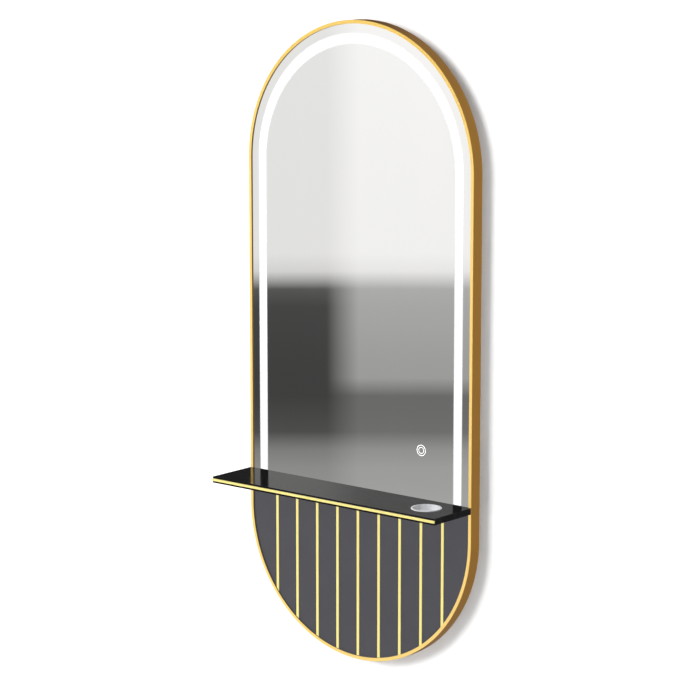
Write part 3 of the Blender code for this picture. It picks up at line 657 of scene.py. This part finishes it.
def gold_band():
    """The bent band, with fine round edges. Painted shade darkens the lip's inner edge and the band's outer
    side.
    """
    corners = [(0, FRONT), (0, BACK), (BAND_WALL, BACK), (BAND_WALL, LIP_BACK), (LIP_WIDTH, LIP_BACK)]
    corners.append((LIP_WIDTH, FRONT))
    section = filleted(corners, (0.0010, 0.0004, 0.0004, 0.0008, 0.0003, 0.0005))
    face, outside, shaded_edge = range(3)

    def side(a, b):
        # the lip's inner edge: painted shade
        if min(a[0], b[0]) > LIP_WIDTH - GAP / 3:
            return shaded_edge
        return outside if max(a[0], b[0]) < GAP else face

    # the outer side and the lip's inner edge take painted shade
    materials = ("gold_steel", "shaded_side_gold", "lip_edge_shade")
    band = sweep("gold_band", pill(), section, materials, closed=True, side=side)
    band.visible_diffuse = False
    settle(smoothed(band), "gold_steel", "frame_band")


def tab_frames():
    """Points on the outline, with outward normals, where a tab is welded inside the band."""
    sides = [(s * RADIUS, z, s, 0) for s in (-1, 1) for z in TAB_HEIGHTS]
    return [*sides, (0, BAND_HIGH.z, 0, 1), (0, BAND_LOW.z, 0, -1)]


def tab_screws():
    inward = 0.6 * TAB_LENGTH
    return [(x - inward * nx, z - inward * nz) for x, z, nx, nz in tab_frames()]


def band_tabs():
    """Welded tabs with rounded corners, each with a weld bead along the band."""
    half, root, weld = TAB_WIDTH / 2, -BAND_WALL - GAP / 3, 0.003
    corners = [(-TAB_LENGTH, -half), (root, -half), (root, half), (-TAB_LENGTH, half)]
    outline = filleted(corners, (0.005, 0, 0, 0.005), steps=6)
    bead = filleted([(root, 0), (root - weld, 0), (root, weld)], (0.0004,) * 3)
    face = SEAT + TAB_THICKNESS

    def turned(station):
        """Where an (out, along) point of a tab at this station is, at a depth y."""
        x, z, nx, nz = station
        return lambda out, along, y: (x + out * nx - along * nz, y, z + out * nz + along * nx)

    for i, (station, hole) in enumerate(zip(tab_frames(), tab_screws())):
        place = turned(station)

        def on_tab(out, rise, along, place=place):
            return place(out, along, face + rise - 0.0002)

        tab = prism(f"band_tab_{i + 1}", outline, place, (SEAT, face))
        bevelled(tab, 0.0003)
        cut(tab, rod(hole, through(SEAT, face)))
        fuse(tab, (bead, on_tab, (weld - half, half - weld)))
        settle(smoothed(tab), "gold_steel", "frame_band")


def mirror_pane():
    """The silvered pane, with a polished bevel. Its face is parted where the light is etched into it."""
    stations = arch(GLASS_LOW.z)
    front, back = GLASS_LOW.y, GLASS_HIGH.y
    half = BAND_OF_LIGHT / 2 + BAND_FADE / 2 - GAP
    section = [(GLASS_INSET, back), (GLASS_INSET, front + GLASS_BEVEL), (GLASS_INSET + GLASS_BEVEL, front)]
    section += [(LIGHT_INSET - half, front), (LIGHT_INSET + half, front)]
    silver, edge, etched, painted = range(4)
    shape = bmesh.new()
    rings = [[shape.verts.new((x - i * nx, y, z - i * nz)) for x, z, nx, nz in stations] for i, y in section]
    # The faces under the light band take near-black painted shade.
    for here, there, index in zip(rings, rings[1:], (edge, edge, silver, etched)):
        for a, b, c, d in zip(here, here[1:], there[1:], there):
            shape.faces.new((a, b, c, d)).material_index = index
    shape.faces.new(rings[-1])
    shape.faces.new(reversed(rings[0])).material_index = painted
    foot = [ring[0] for ring in rings] + [ring[-1] for ring in reversed(rings)]
    shape.faces.new(foot).material_index = edge
    pane = add_object("mirror_pane", shape, "mirror", "glass_edge", "channel_shade", "back_paint")
    settle(smoothed(pane), "mirror", "mirror_glass")


def light_path(foot):
    """Stations along the middle of the light, down to foot on both sides."""
    return [(x - LIGHT_INSET * nx, z - LIGHT_INSET * nz, nx, nz) for x, z, nx, nz in arch(foot)]


def light_band():
    """The etched band in front of the light. It isn't mirrored in the shelf's lacquer."""
    half = BAND_OF_LIGHT / 2 + BAND_FADE / 2
    section = [(-half, FIGURE_FACE), (half, FIGURE_FACE), (half, FIGURE_ROOT), (-half, FIGURE_ROOT)]
    band = sweep("light_band", light_path(SHELF_HIGH.z), section)
    for loop in band.data.uv_layers["run"].data:
        loop.uv.y = min(loop.uv.y, 2 * half) - half
    band.visible_glossy = False
    settle(smoothed(band), "opal_acrylic", "mirror_glass")


def touch_mark():
    """The mark etched in front of the touch sensor: two fine rings."""
    centre = middle("touch_sensor")
    for name, (inner, outer) in TOUCH_RINGS.items():
        profile = rectangle((inner, -FIGURE_FACE), (outer, -FIGURE_ROOT))
        ring = lathe(f"touch_mark_{name}", profile, 64, ("touch_light",))
        for vertex in ring.data.vertices:
            u, v, w = vertex.co
            vertex.co = (centre.x + u, -w, centre.z + v)
        settle(smoothed(ring), "opal_acrylic", "mirror_glass")


def light_unit():
    """The aluminium channel and the diffuser in its mouth."""
    low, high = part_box("led_channel")
    half, floor = CHANNEL_WIDTH / 2, high.y - CHANNEL_WALL
    inner = half - CHANNEL_WALL
    path = light_path(low.z)
    corners = [(-half, low.y), (-half, high.y), (half, high.y), (half, low.y)]
    corners += [(inner, low.y), (inner, floor), (-inner, floor), (-inner, low.y)]
    section = filleted(corners, (0, 0.0008, 0.0008, 0, 0, 0.0004, 0.0004, 0), steps=2)
    channel = sweep("light_channel", path, section)
    cut(channel, rod(light_lead_place(), through(floor, high.y), LEAD_HOLE))
    settle(smoothed(channel), "aluminium", "led_channel")
    low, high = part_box("light_diffuser")
    mouth = inner - GAP
    sheet = [(-mouth, low.y), (-mouth, high.y), (mouth, high.y), (mouth, low.y)]
    diffuser = sweep("light_sheet", path, sheet, ("opal_sheet",))
    settle(smoothed(diffuser), "opal_acrylic", "light_diffuser")


def core_board():
    """The board behind the glass, with a groove for the light, pockets for sensor and driver, and holes."""
    low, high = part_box("backing_board")
    before, past = through(low.y, high.y)
    board = prism("core_board", moved_in(pill(), GLASS_INSET), upright, (low.y, high.y))
    half = CHANNEL_WIDTH / 2 + GAP
    channel_low, channel_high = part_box("led_channel")
    groove_back = channel_high.y + GAP
    section = [(-half, before), (-half, groove_back), (half, groove_back), (half, before)]
    combine(board, sweep("groove", light_path(channel_low.z - 0.001), section), "DIFFERENCE")
    driver_low, driver_high = driver_body()
    sensor = middle("touch_sensor")
    sensor_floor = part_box("touch_sensor")[1].y + 0.003
    cuts = [(rounded_box(driver_low, driver_high, 0.003, inset=-0.001), upright, (driver_low.y - GAP, past))]
    cuts.append(rod((sensor.x, sensor.z), (before, sensor_floor), 0.018, steps=48))
    cuts.append(rod(light_lead_place(), (groove_back - OVERSHOOT, past), LEAD_HOLE))
    holes = screw_holes("frame_screw") + screw_holes("cleat_screw") + screw_holes("driver_screw")
    cuts += [rod(hole, (high.y - HOLE_DEPTH, past), steps=24) for hole in holes]
    holes = screw_holes("bracket_wall_screw")
    cuts += [rod(hole, (before, low.y + HOLE_DEPTH), steps=24) for hole in holes]
    cut(board, *cuts)
    cut(board, rod((sensor.x, sensor.z), (before, past), LEAD_HOLE))
    settle(soften(board, 0.0004), "fibreboard", "backing_board")


# The lower panel


def striped_panel():
    """The lacquered panel, with a groove for each inlay and holes for the brackets' screws."""
    low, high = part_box("lower_panel")
    outline = moved_in(cradle(high.z), GLASS_INSET)
    panel = prism("striped_panel", outline, upright, (low.y, high.y))
    cuts = []
    for inlay_low, inlay_high in map(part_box, INLAYS):
        strip = rectangle((inlay_low.x - GAP, low.z - OVERSHOOT), (inlay_high.x + GAP, high.z + OVERSHOOT))
        cuts.append((strip, upright, (low.y - OVERSHOOT, inlay_high.y + GAP)))
    cut(panel, *cuts)
    past = through(low.y, high.y)
    holes = screw_holes("bracket_wall_screw")
    cut(panel, *[rod(hole, past, steps=24) for hole in holes])
    settle(soften(panel, 0.0003), "grey_lacquer", "lower_panel")


def inlays():
    """Gold strips with softly rounded edges. Each foot follows the lip's curve."""
    radius = RADIUS - LIP_WIDTH - GAP
    steps = 6
    for i, node in enumerate(INLAYS):
        low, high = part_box(node)
        feet = [low.x + (high.x - low.x) * k / steps for k in range(steps + 1)]
        foot = [(x, LOWER_CENTRE - math.sqrt(radius**2 - x**2)) for x in feet]
        outline = [*foot, (high.x, high.z), (low.x, high.z)]
        inlay = prism(f"gold_inlay_{i + 1}", outline, upright, (low.y, high.y))
        settle(soften(inlay, 0.00035), "pale_gold", node)


# The shelf


def shelf():
    """The lacquered board: a tongue between the lips, a groove for the trim and a hole for the ring."""
    inner = RADIUS - LIP_WIDTH - 2 * GAP
    back = FRONT - GAP
    half = [(SHELF_HIGH.x, SHELF_LOW.y), (SHELF_HIGH.x, back), (inner, back), (inner, SHELF_HIGH.y)]
    outline = half + [(-x, y) for x, y in reversed(half)]
    board = prism("lacquered_shelf", outline, flat, (SHELF_LOW.z, SHELF_HIGH.z))
    ring = middle("dryer_ring")
    before, past = through(SHELF_LOW.z, SHELF_HIGH.z)
    cuts = [rod((ring.x, ring.y), (before, past), RING_SLEEVE + 0.0005, steps=96, place=flat)]
    groove = rectangle((SHELF_LOW.y - OVERSHOOT, TRIM_LOW.z - GAP), (TRIM_HIGH.y + GAP, TRIM_HIGH.z + GAP))
    cuts.append((groove, across, through(SHELF_LOW.x, SHELF_HIGH.x)))
    depth = (before, SHELF_LOW.z + HOLE_DEPTH)
    for screw in screw_places("bracket_shelf_screw"):
        cuts.append(rod((screw.x, screw.y), depth, steps=24, place=flat))
    cut(board, *cuts)
    unshadowed(settle(soften(board, 0.0006, 3), "black_lacquer", "shelf_board"))


def shelf_trim():
    """A gold strip let into the shelf's front, with a softly crowned face."""
    section = rectangle((TRIM_LOW.y, TRIM_LOW.z), (TRIM_HIGH.y, TRIM_HIGH.z))
    radii = (0.0008, 0.0003, 0.0003, 0.0008)
    ends = (TRIM_LOW.x, TRIM_HIGH.x)
    trim = prism("gold_trim", filleted(section, radii), across, ends, "trim_gold")
    unshadowed(settle(soften(trim, 0.0002), "pale_gold", "shelf_edge_trim"))


def dryer_ring():
    """The steel sleeve with a rolled flange that lines the hole."""
    centre = middle("dryer_ring")
    flange = (RING_HIGH.x - RING_LOW.x) / 2
    seat = SHELF_HIGH.z + GAP
    corners = [(RING_BORE, RING_LOW.z), (RING_SLEEVE, RING_LOW.z), (RING_SLEEVE, seat), (flange, seat)]
    corners += [(flange, RING_HIGH.z), (RING_BORE, RING_HIGH.z)]
    profile = filleted(corners, (0.0004, 0.0004, 0, 0.0003, 0.0018, 0.0018), steps=6)
    ring = lathe("steel_ring", profile, steps=128, axis=(centre.x, centre.y))
    unshadowed(settle(smoothed(ring), "stainless_steel", "dryer_ring"))


def brackets():
    """Pressed steel angles with rounded leaves and a welded rib."""
    steel, corner = 0.003, 0.007
    for side in ("left", "right"):
        low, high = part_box(f"shelf_bracket_{side}")
        x = (low.x + high.x) / 2
        leaves = (rectangle((low.x, low.y), (high.x, high.y)), rectangle((low.x, low.z), (high.x, high.z)))
        upper, rear = (filleted(leaf, (corner, corner, 0, 0), steps=6) for leaf in leaves)
        bracket = prism(f"shelf_angle_{side}", upper, flat, (high.z - steel, high.z))
        fuse(bracket, (rear, upright, (high.y - steel, high.y)))
        y, z = high.y - 2 / 3 * steel, high.z - 2 / 3 * steel
        rib = [(y, z), (y - 0.108, z), (y - 0.100, z - 0.004), (y - 0.005, z - 0.031), (y, z - 0.032)]
        fuse(bracket, (rib, across, (x - steel / 2, x + steel / 2)))
        through_rear, through_upper = ((level - 2 * steel, level + steel) for level in (high.y, high.z))
        holes = []
        for wall, up in zip(screw_places("bracket_wall_screw"), screw_places("bracket_shelf_screw")):
            if abs(wall.x - x) < high.x - x:
                holes.append(rod((wall.x, wall.z), through_rear))
                holes.append(rod((up.x, up.y), through_upper, place=flat))
        cut(bracket, *holes)
        unshadowed(settle(soften(bracket, 0.0004), "black_steel", f"shelf_bracket_{side}"))


# Screws


def pan_head(length):
    """A screw along Z with its head on z = 0: a domed pan head with a cross recess, and a threaded shank."""
    dome = [(0.01, 1.0), (0.35, 0.99), (0.65, 0.93), (0.86, 0.78), (0.97, 0.5), (1.0, 0.2), (1.0, 0.0)]
    head = [(r * HEAD_RADIUS, z * HEAD_HEIGHT) for r, z in dome]
    pitch, core = 0.0012, 0.78 * SHANK_RADIUS
    neck, start = -0.0002, -0.0006
    turns = int((length - 2 * SHANK_RADIUS) / pitch)
    thread = [(core, neck)]
    for i in range(turns):
        z = start - i * pitch
        thread += [(core, z), (SHANK_RADIUS, z - 0.45 * pitch), (SHANK_RADIUS, z - 0.55 * pitch)]
    tip = [(core, start - turns * pitch), (0.01 * HEAD_RADIUS, -length)]
    screw = lathe("screw", head + thread + tip, steps=36)
    arm, reach = 0.16 * HEAD_RADIUS, 0.58 * HEAD_RADIUS
    quarter = [(arm, arm), (arm, reach), (-arm, reach)]
    turned = ((1, 0), (0, 1), (-1, 0), (0, -1))
    cross = [(u * c - v * s, u * s + v * c) for c, s in turned for u, v in quarter]

    def tapered(u, v, level):
        share, height = ((0.5, 0.35), (1.15, 1.3))[level]
        return u * share, v * share, height * HEAD_HEIGHT

    cut(screw, (cross, tapered, (0, 1)))
    return smoothed(screw)


def screws():
    """Each of the model's screws, made finely, with its head where the model has it."""
    for prefix, (count, axis, sign) in SCREWS.items():
        low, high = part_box(f"{prefix}_1")
        pattern = pan_head(high[axis] - low[axis] - HEAD_HEIGHT)
        out = Vector((0, 0, 0))
        out[axis] = sign
        for i in range(count):
            node = f"{prefix}_{i + 1}"
            low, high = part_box(node)
            screw = linked(f"pan_head_{node}", pattern.data)
            screw.rotation_mode = "QUATERNION"
            screw.rotation_quaternion = out.to_track_quat("Z", "Y")
            place = middle(node)
            place[axis] = (high if sign > 0 else low)[axis] - sign * HEAD_HEIGHT
            screw.location = place
            settle(screw, "zinc_steel", node)
            screw.visible_glossy = not prefix.startswith("bracket")
        bpy.data.objects.remove(pattern)


# Hanging


def cleats():
    """The two interlocking cleats, bent from sheet with round outer corners."""
    sheet, ledge, hook_top, base_foot = 0.003, 0.004, 0.018, -0.016
    hook_back = -2 * sheet
    hook_front = hook_back - sheet
    bend, edge = 0.0012, 0.0004
    low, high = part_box("wall_cleat")
    corners = [(0, base_foot), (0, ledge), (hook_back, ledge), (hook_back, hook_top), (hook_front, hook_top)]
    corners += [(hook_front, ledge - sheet), (-sheet, ledge - sheet), (-sheet, base_foot)]
    section = filleted(corners, (edge, bend, edge, edge, edge, bend, edge, edge), steps=3)
    wall = prism("cleat_on_wall", section, across, (low.x, high.x))
    plug_hole, plug_height = 0.0025, -0.0075
    places = [(share * high.x, plug_height) for share in (-0.9, -0.48, 0.48, 0.9)]
    cut(wall, *[rod(place, through(-sheet, 0), plug_hole) for place in places])
    settle(soften(wall, 0.0003), "aluminium", "wall_cleat", body="wall_cleat")
    low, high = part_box("mirror_cleat")
    base_back = SEAT + sheet
    tongue_back = -0.0025
    tongue_front = tongue_back - sheet
    web = hook_top + 0.0005
    corners = [(SEAT, high.z), (base_back, high.z), (base_back, web + sheet), (tongue_back, web + sheet)]
    corners += [(tongue_back, low.z), (tongue_front, low.z), (tongue_front, web), (SEAT, web)]
    section = filleted(corners, (edge, edge, edge, bend, edge, edge, edge, bend), steps=3)
    hook = prism("cleat_on_mirror", section, across, (low.x, high.x))
    levels = through(SEAT, base_back)
    cut(hook, *[rod(hole, levels) for hole in screw_holes("cleat_screw")])
    settle(soften(hook, 0.0003), "aluminium", "mirror_cleat")


# Electrical pieces


def driver():
    """The driver: a case with end caps, a blank recess on its cover, and a drilled ear at each end."""
    low, high = driver_body()
    ear_low, ear_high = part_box("led_driver")
    z = (low.z + high.z) / 2
    ear_half, ear_steel, label_half, label_end, cap, line = 0.008, 0.002, 0.013, 0.026, 0.016, 0.0004
    case = prism("driver_case", rounded_box(low, high, 0.003), upright, (low.y, high.y))
    bevelled(case, 0.0006)
    ears = rectangle((ear_low.x, z - ear_half), (ear_high.x, z + ear_half))
    fuse(case, (filleted(ears, (0.004,) * 4), upright, (SEAT, SEAT + ear_steel)))
    through_ear = (SEAT - OVERSHOOT, SEAT + 2 * ear_steel)
    cuts = [rod(hole, through_ear) for hole in screw_holes("driver_screw")]
    label = rectangle((low.x + label_end, z - label_half), (high.x - label_end, z + label_half))
    cuts.append((filleted(label, (0.002,) * 4), upright, (high.y - 0.0005, high.y + OVERSHOOT)))
    for x in (low.x + cap, high.x - cap):
        seam = rectangle((x - line, low.z - OVERSHOOT), (x + line, high.z + OVERSHOOT))
        cuts.append((seam, upright, (high.y - 0.0006, high.y + OVERSHOOT)))
    cut(case, *cuts)
    settle(smoothed(case), "white_plastic", "led_driver")


def junction_box():
    """The tray with round corners, and its lid with two slotted quarter-turn studs."""
    corner, wall, stud_inset = 0.004, 0.002, 0.008
    low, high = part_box("junction_box")
    tray = prism("junction_tray", rounded_box(low, high, corner), upright, (low.y, high.y))
    inner = rounded_box(low, high, 0.0025, inset=wall)
    cut(tray, (inner, upright, (low.y + wall, high.y + OVERSHOOT)))
    entry = middle("cable_gland")
    past = through(low.z, low.z + wall)
    cut(tray, rod((entry.x, entry.y), past, 0.0036, place=flat))
    settle(soften(tray, 0.0004), "white_plastic", "junction_box")
    low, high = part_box("junction_box_lid")
    lid = prism("junction_lid", rounded_box(low, high, corner), upright, (low.y, high.y))
    places = [(low.x + stud_inset, high.z - stud_inset), (high.x - stud_inset, low.z + stud_inset)]
    sunk = (high.y - 0.0005, high.y + OVERSHOOT)
    cut(lid, *[rod(place, sunk, 0.0030, steps=40) for place in places])
    stud = (high.y - 0.0008, high.y - 0.0001)
    fuse(lid, *[rod(place, stud, 0.0026, steps=40) for place in places])
    slots = [rectangle((x - 0.0020, z - 0.0004), (x + 0.0020, z + 0.0004)) for x, z in places]
    cut(lid, *[(slot, upright, sunk) for slot in slots])
    settle(soften(lid, 0.0002), "white_plastic", "junction_box_lid")


def gland():
    """The cable gland: a thread in the box's wall, and below it a ribbed nut with a tapered nose."""
    low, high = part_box("cable_gland")
    centre = middle("cable_gland")
    bore, thread, nut = 0.0025, 0.0033, (high.x - low.x) / 2
    shoulder = high.z - 0.004
    corners = [(bore, low.z), (thread, low.z), (nut, low.z + 0.006), (nut, shoulder), (thread, shoulder)]
    corners += [(thread, high.z), (bore, high.z)]
    profile = filleted(corners, (0.0003, 0.0006, 0.0008, 0.0004, 0, 0.0002, 0.0002), steps=3)

    def ribs(turn, radius):
        return radius - 0.0003 * (radius > 0.9 * nut) * (0.5 + 0.5 * math.cos(16 * turn))

    made = lathe("gland_nut", profile, steps=96, axis=(centre.x, centre.y), grip=ribs)
    settle(smoothed(made), "black_plastic", "cable_gland")


def smooth_route(points, spacing):
    """Points about spacing apart on a Catmull-Rom curve through the route's own points."""
    inner = [Vector(point) for point in points]
    padded = [2 * inner[0] - inner[1], *inner, 2 * inner[-1] - inner[-2]]
    route = []
    for a, b, c, d in zip(padded, padded[1:], padded[2:], padded[3:]):
        bends = (2 * b, c - a, 2 * a - 5 * b + 4 * c - d, 3 * b - a - 3 * c + d)
        steps = max(2, round((c - b).length / spacing))
        for t in (i / steps for i in range(steps)):
            route.append(sum((bend * t**n / 2 for n, bend in enumerate(bends)), Vector()))
    return [*route, inner[-1]]


def lead(node, points):
    """A round lead along a smooth curve through these points."""
    curve = bpy.data.curves.new(f"{node}_sheath", "CURVE")
    curve.dimensions = "3D"
    curve.bevel_depth = LEAD_RADIUS
    curve.bevel_resolution = 6
    curve.use_fill_caps = True
    route = smooth_route(points, 2 * LEAD_RADIUS)
    spline = curve.splines.new("POLY")
    spline.points.add(len(route) - 1)
    for point, place in zip(spline.points, route):
        point.co = (*place, 1)
    settle(linked(f"{node}_sheath", curve), "cable_sheath", node)


def out_of_hole(x, z, start):
    """A route from the depth start straight out of the board's back, ending in a quarter turn upwards."""
    turns = [math.radians(angle) for angle in (0, 30, 60, 90)]
    level = LEAD_Y - LEAD_BEND
    turned = [(x, level + LEAD_BEND * math.sin(t), z + LEAD_BEND * (1 - math.cos(t))) for t in turns]
    return [(x, start, z), *turned]


def on_board(*places):
    """Route points on the board's back, from (x, z) pairs."""
    return [(x, LEAD_Y, z) for x, z in places]


def leads():
    """The leads on the board's back: junction box to driver, sensor to driver and light to driver."""
    low, high = driver_body()
    left, right, z = low.x - GAP, high.x + GAP, (low.z + high.z) / 2
    upper, lower = z + LEAD_APART, z - LEAD_APART
    box_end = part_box("junction_box")[1].x + GAP
    route = ((box_end, upper), (box_end + 0.020, upper), (left - 0.065, upper - 0.004), (left, upper))
    lead("mains_lead", on_board(*route))
    sensor = middle("touch_sensor")
    x, z = sensor.x, sensor.z
    rise = on_board((x + 0.006, z + 0.060), (x + 0.010, z + 0.130), (x + 0.004, lower - 0.020))
    turn = on_board((right + 0.016, lower - 0.002), (right, lower))
    lead("sensor_lead", out_of_hole(x, z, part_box("touch_sensor")[1].y + GAP) + rise + turn)
    x, z = light_lead_place()
    rise = on_board((x - 0.012, z + 0.080), (x - 0.020, z + 0.200), (x - 0.024, upper - 0.040))
    turn = on_board((x - 0.050, upper + 0.004), (right + 0.030, upper + 0.004), (right, upper))
    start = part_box("led_channel")[1].y - CHANNEL_WALL
    lead("light_lead", out_of_hole(x, z, start) + rise + turn)


def lead_clips():
    """Two saddles over the light's lead, with rounded shoulders."""
    inner, outer, foot = LEAD_RADIUS + 0.0013, LEAD_RADIUS + 0.0025, 0.008
    ceiling = SEAT + 2 * LEAD_RADIUS + 0.002
    toe, crown = SEAT + 0.001, ceiling + 0.001
    half = [(inner, ceiling), (inner, SEAT), (foot, SEAT), (foot, toe), (outer, toe), (outer, crown)]
    radii = (0.0012, 0, 0, 0.0003, 0.0004, 0.0020)
    for i in range(2):
        node = f"lead_clip_{i + 1}"
        low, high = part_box(node)
        x = middle(node).x
        corners = [(x + u, y) for u, y in half] + [(x - u, y) for u, y in reversed(half)]
        section = filleted(corners, radii + radii[::-1], steps=4)
        clip = prism(f"saddle_{i + 1}", section, flat, (low.z, high.z))
        settle(soften(clip, 0.0002), "black_plastic", node)


# Nodes that stay as the model has them


def carried_over():
    """Gives each node that stays its own finish, in place of the plain one."""
    kept = {"led_strip": "circuit_board", "touch_sensor": "circuit_board", "terminal_block": "black_plastic"}
    kept |= {f"mirror_tape_{place}": "foam_tape" for place in ("left", "centre", "right")}
    for node, material in kept.items():
        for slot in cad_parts[node].material_slots:
            slot.material = MATERIALS[material]


# The studio


STAGE_FLOOR = -1.90
STAGE_REACH = 12.0
WALL_Y = 0.0006
WALL_LAP = 0.003  # how far the wall reaches in behind the band


def studio_paint(name, colour):
    """Plain paint that is clear when it is seen from behind."""
    made = Finish(name)
    tone = made.mottle(made.noise(2.0), shaded(colour, 0.985), colour)
    made.set(Base_Color=tone, Roughness=0.9)
    facing = made.add("NewGeometry").outputs["Backfacing"]
    clear = made.add("BsdfTransparent").outputs[0]
    both = made.add("MixShader", {0: facing, 1: made.shader.outputs[0], 2: clear})
    output = next(node for node in made.tree.nodes if node.type == "OUTPUT_MATERIAL")
    made.feed(output, {"Surface": both.outputs[0]})
    return made.material


def add_stage(name, shape, colour, facing):
    """A part of the stage, which no polished surface mirrors."""
    for face in shape.faces:
        face.normal_update()
        if face.normal.dot(Vector(facing)) < 0:
            face.normal_flip()
    mesh = bpy.data.meshes.new(name)
    shape.to_mesh(mesh)
    shape.free()
    mesh.materials.append(studio_paint(name, colour))
    made = linked(name, mesh)
    made.visible_glossy = False


def stage():
    """A pale floor, and a white wall that is open behind the mirror."""
    shape = bmesh.new()
    inner, outer = [], []
    for x, z in moved_in(pill(), WALL_LAP):
        out = Vector((x, z - MIDDLE_HEIGHT)).normalized() * STAGE_REACH
        inner.append(shape.verts.new((x, WALL_Y, z)))
        outer.append(shape.verts.new((out.x, WALL_Y, max(out.y, STAGE_FLOOR))))
    for a, b, c, d in zip(inner, outer, outer[1:] + outer[:1], inner[1:] + inner[:1]):
        shape.faces.new((a, b, c, d))
    add_stage("studio_wall", shape, (0.92, 0.92, 0.92), (0, -1, 0))
    shape = bmesh.new()
    corners = rectangle((-STAGE_REACH, -STAGE_REACH), (STAGE_REACH, STAGE_REACH))
    shape.faces.new([shape.verts.new((x, y, STAGE_FLOOR)) for x, y in corners])
    add_stage("studio_floor", shape, (0.86, 0.86, 0.86), (0, 0, 1))


# What polished surfaces mirror in front of the wall: the tone at each angle above the horizon, in two columns
SKY_ANGLES = (-40, -18, -14.5, -12.5, -11.9, -11.2, -10.8, -9.0, -8.4, 0, 7, 11.5, 15, 19, 60, 90)
SKY_LEFT = (0.85, 0.85, 0.40, 0.28, 0.08, 0.055, 0.055, 0.065, 0.82, 0.86, 0.88, 0.53, 0.53, 0.90, 0.95, 0.80)
SKY_RIGHT = (0.85, 0.85, 0.44, 0.36, 0.17, 0.15, 0.36, 0.42, 0.95, 1.02, 0.95, 0.27, 0.27, 0.90, 0.95, 0.80)
COLUMN_EDGE = (0.825, 0.845)  # tangents of the azimuths between which the columns blend
WARM = (1.0, 0.985, 0.965)
FRONT_EDGE = (-0.2, 0.1)  # how far towards the wall the front's tones give way to the tones beside it
SKY_SIDE = 0.25
SKY_BEHIND, BEHIND_EDGE = 0.85, (0.85, 0.97)  # the tone behind the wall, and where it starts
SKY_FLAG, FLAG_EDGE = 0.05, (-0.62, -0.3)  # a dark flag at the far left
AMBIENT = 0.30
BACKGROUND = 1.05


def sky_column(made, height, tones):
    """A column of warm tones by height, which runs from 0 to 1."""
    places = [math.sin(math.radians(angle)) for angle in SKY_ANGLES]
    ramp = made.add("ValToRGB", {0: height})
    ramp.color_ramp.interpolation = "EASE"
    while len(ramp.color_ramp.elements) < len(places):
        ramp.color_ramp.elements.new(0.5)
    for element, place, tone in zip(ramp.color_ramp.elements, places, tones):
        element.position = (place - places[0]) / (places[-1] - places[0])
        element.color = (*shaded(WARM, tone), 1)
    return ramp.outputs[0]


def sky():
    """White behind everything, an even ambient light, and a soft surround for polished surfaces to mirror."""
    world = bpy.data.worlds.new("studio")
    world.use_nodes = True
    made = Nodes(world.node_tree, "Generated")
    background = next(node for node in made.tree.nodes if node.type == "BACKGROUND")
    right, forward, up = made.add("SeparateXYZ", {0: made.place}).outputs
    low, high = (math.sin(math.radians(SKY_ANGLES[i])) for i in (0, -1))
    height = made.level(up, 0.0, 1.0, low, high)
    left_share = made.level(made.maths("DIVIDE", right, forward), 0.0, 1.0, *COLUMN_EDGE)
    front = made.blend(left_share, sky_column(made, height, SKY_RIGHT), sky_column(made, height, SKY_LEFT))
    side = made.level(right, SKY_FLAG, SKY_SIDE, *FLAG_EDGE)
    behind = made.blend(made.level(forward, 0.0, 1.0, *BEHIND_EDGE), side, (SKY_BEHIND,) * 3)
    mirrored = made.blend(made.level(forward, 0.0, 1.0, *FRONT_EDGE), front, behind)
    ray = made.add("LightPath").outputs
    tone = made.blend(ray["Is Glossy Ray"], (AMBIENT,) * 3, mirrored)
    tone = made.blend(ray["Is Camera Ray"], tone, (BACKGROUND,) * 3)
    made.feed(background, {"Color": tone})
    bpy.context.scene.world = world


def aimed(name, data, target, azimuth, elevation, distance):
    """A light or camera that looks at the target. Azimuth 0 is straight in front of it, +90 at its right."""
    a, e = math.radians(azimuth), math.radians(elevation)
    back = Vector((math.sin(a) * math.cos(e), -math.cos(a) * math.cos(e), math.sin(e)))
    made = linked(name, data)
    made.location = Vector(target) + back * distance
    made.rotation_euler = (-back).to_track_quat("-Z", "Y").to_euler()
    return made


def softbox(name, azimuth, elevation, distance, size, watts):
    """A square area light that looks at the mirror's middle."""
    light = bpy.data.lights.new(name, "AREA")
    light.shape = "SQUARE"
    light.size = size
    light.energy = watts
    aimed(name, light, (0, 0, MIDDLE_HEIGHT), azimuth, elevation, distance).visible_glossy = False


def lights():
    softbox("key", azimuth=-47.7, elevation=14.0, distance=12.0, size=6.0, watts=2215)
    softbox("rear", azimuth=160.0, elevation=35.0, distance=5.0, size=2.5, watts=160)


def camera():
    lens = bpy.data.cameras.new("camera")
    lens.lens = CAMERA_LENS
    lens.clip_end = 100
    made = aimed("camera", lens, CAMERA_TARGET, CAMERA_AZIMUTH, CAMERA_ELEVATION, CAMERA_DISTANCE)
    bpy.context.scene.camera = made


MAKERS = (
    camera, stage, sky, lights, gold_band, band_tabs, mirror_pane, light_band, touch_mark,
    light_unit, core_board, striped_panel, inlays, shelf, shelf_trim, dryer_ring, brackets, screws,
    cleats, driver, junction_box, gland, leads, lead_clips, carried_over
)
bpy.context.scene.view_settings.view_transform = "Standard"
for make in MAKERS:
    make()
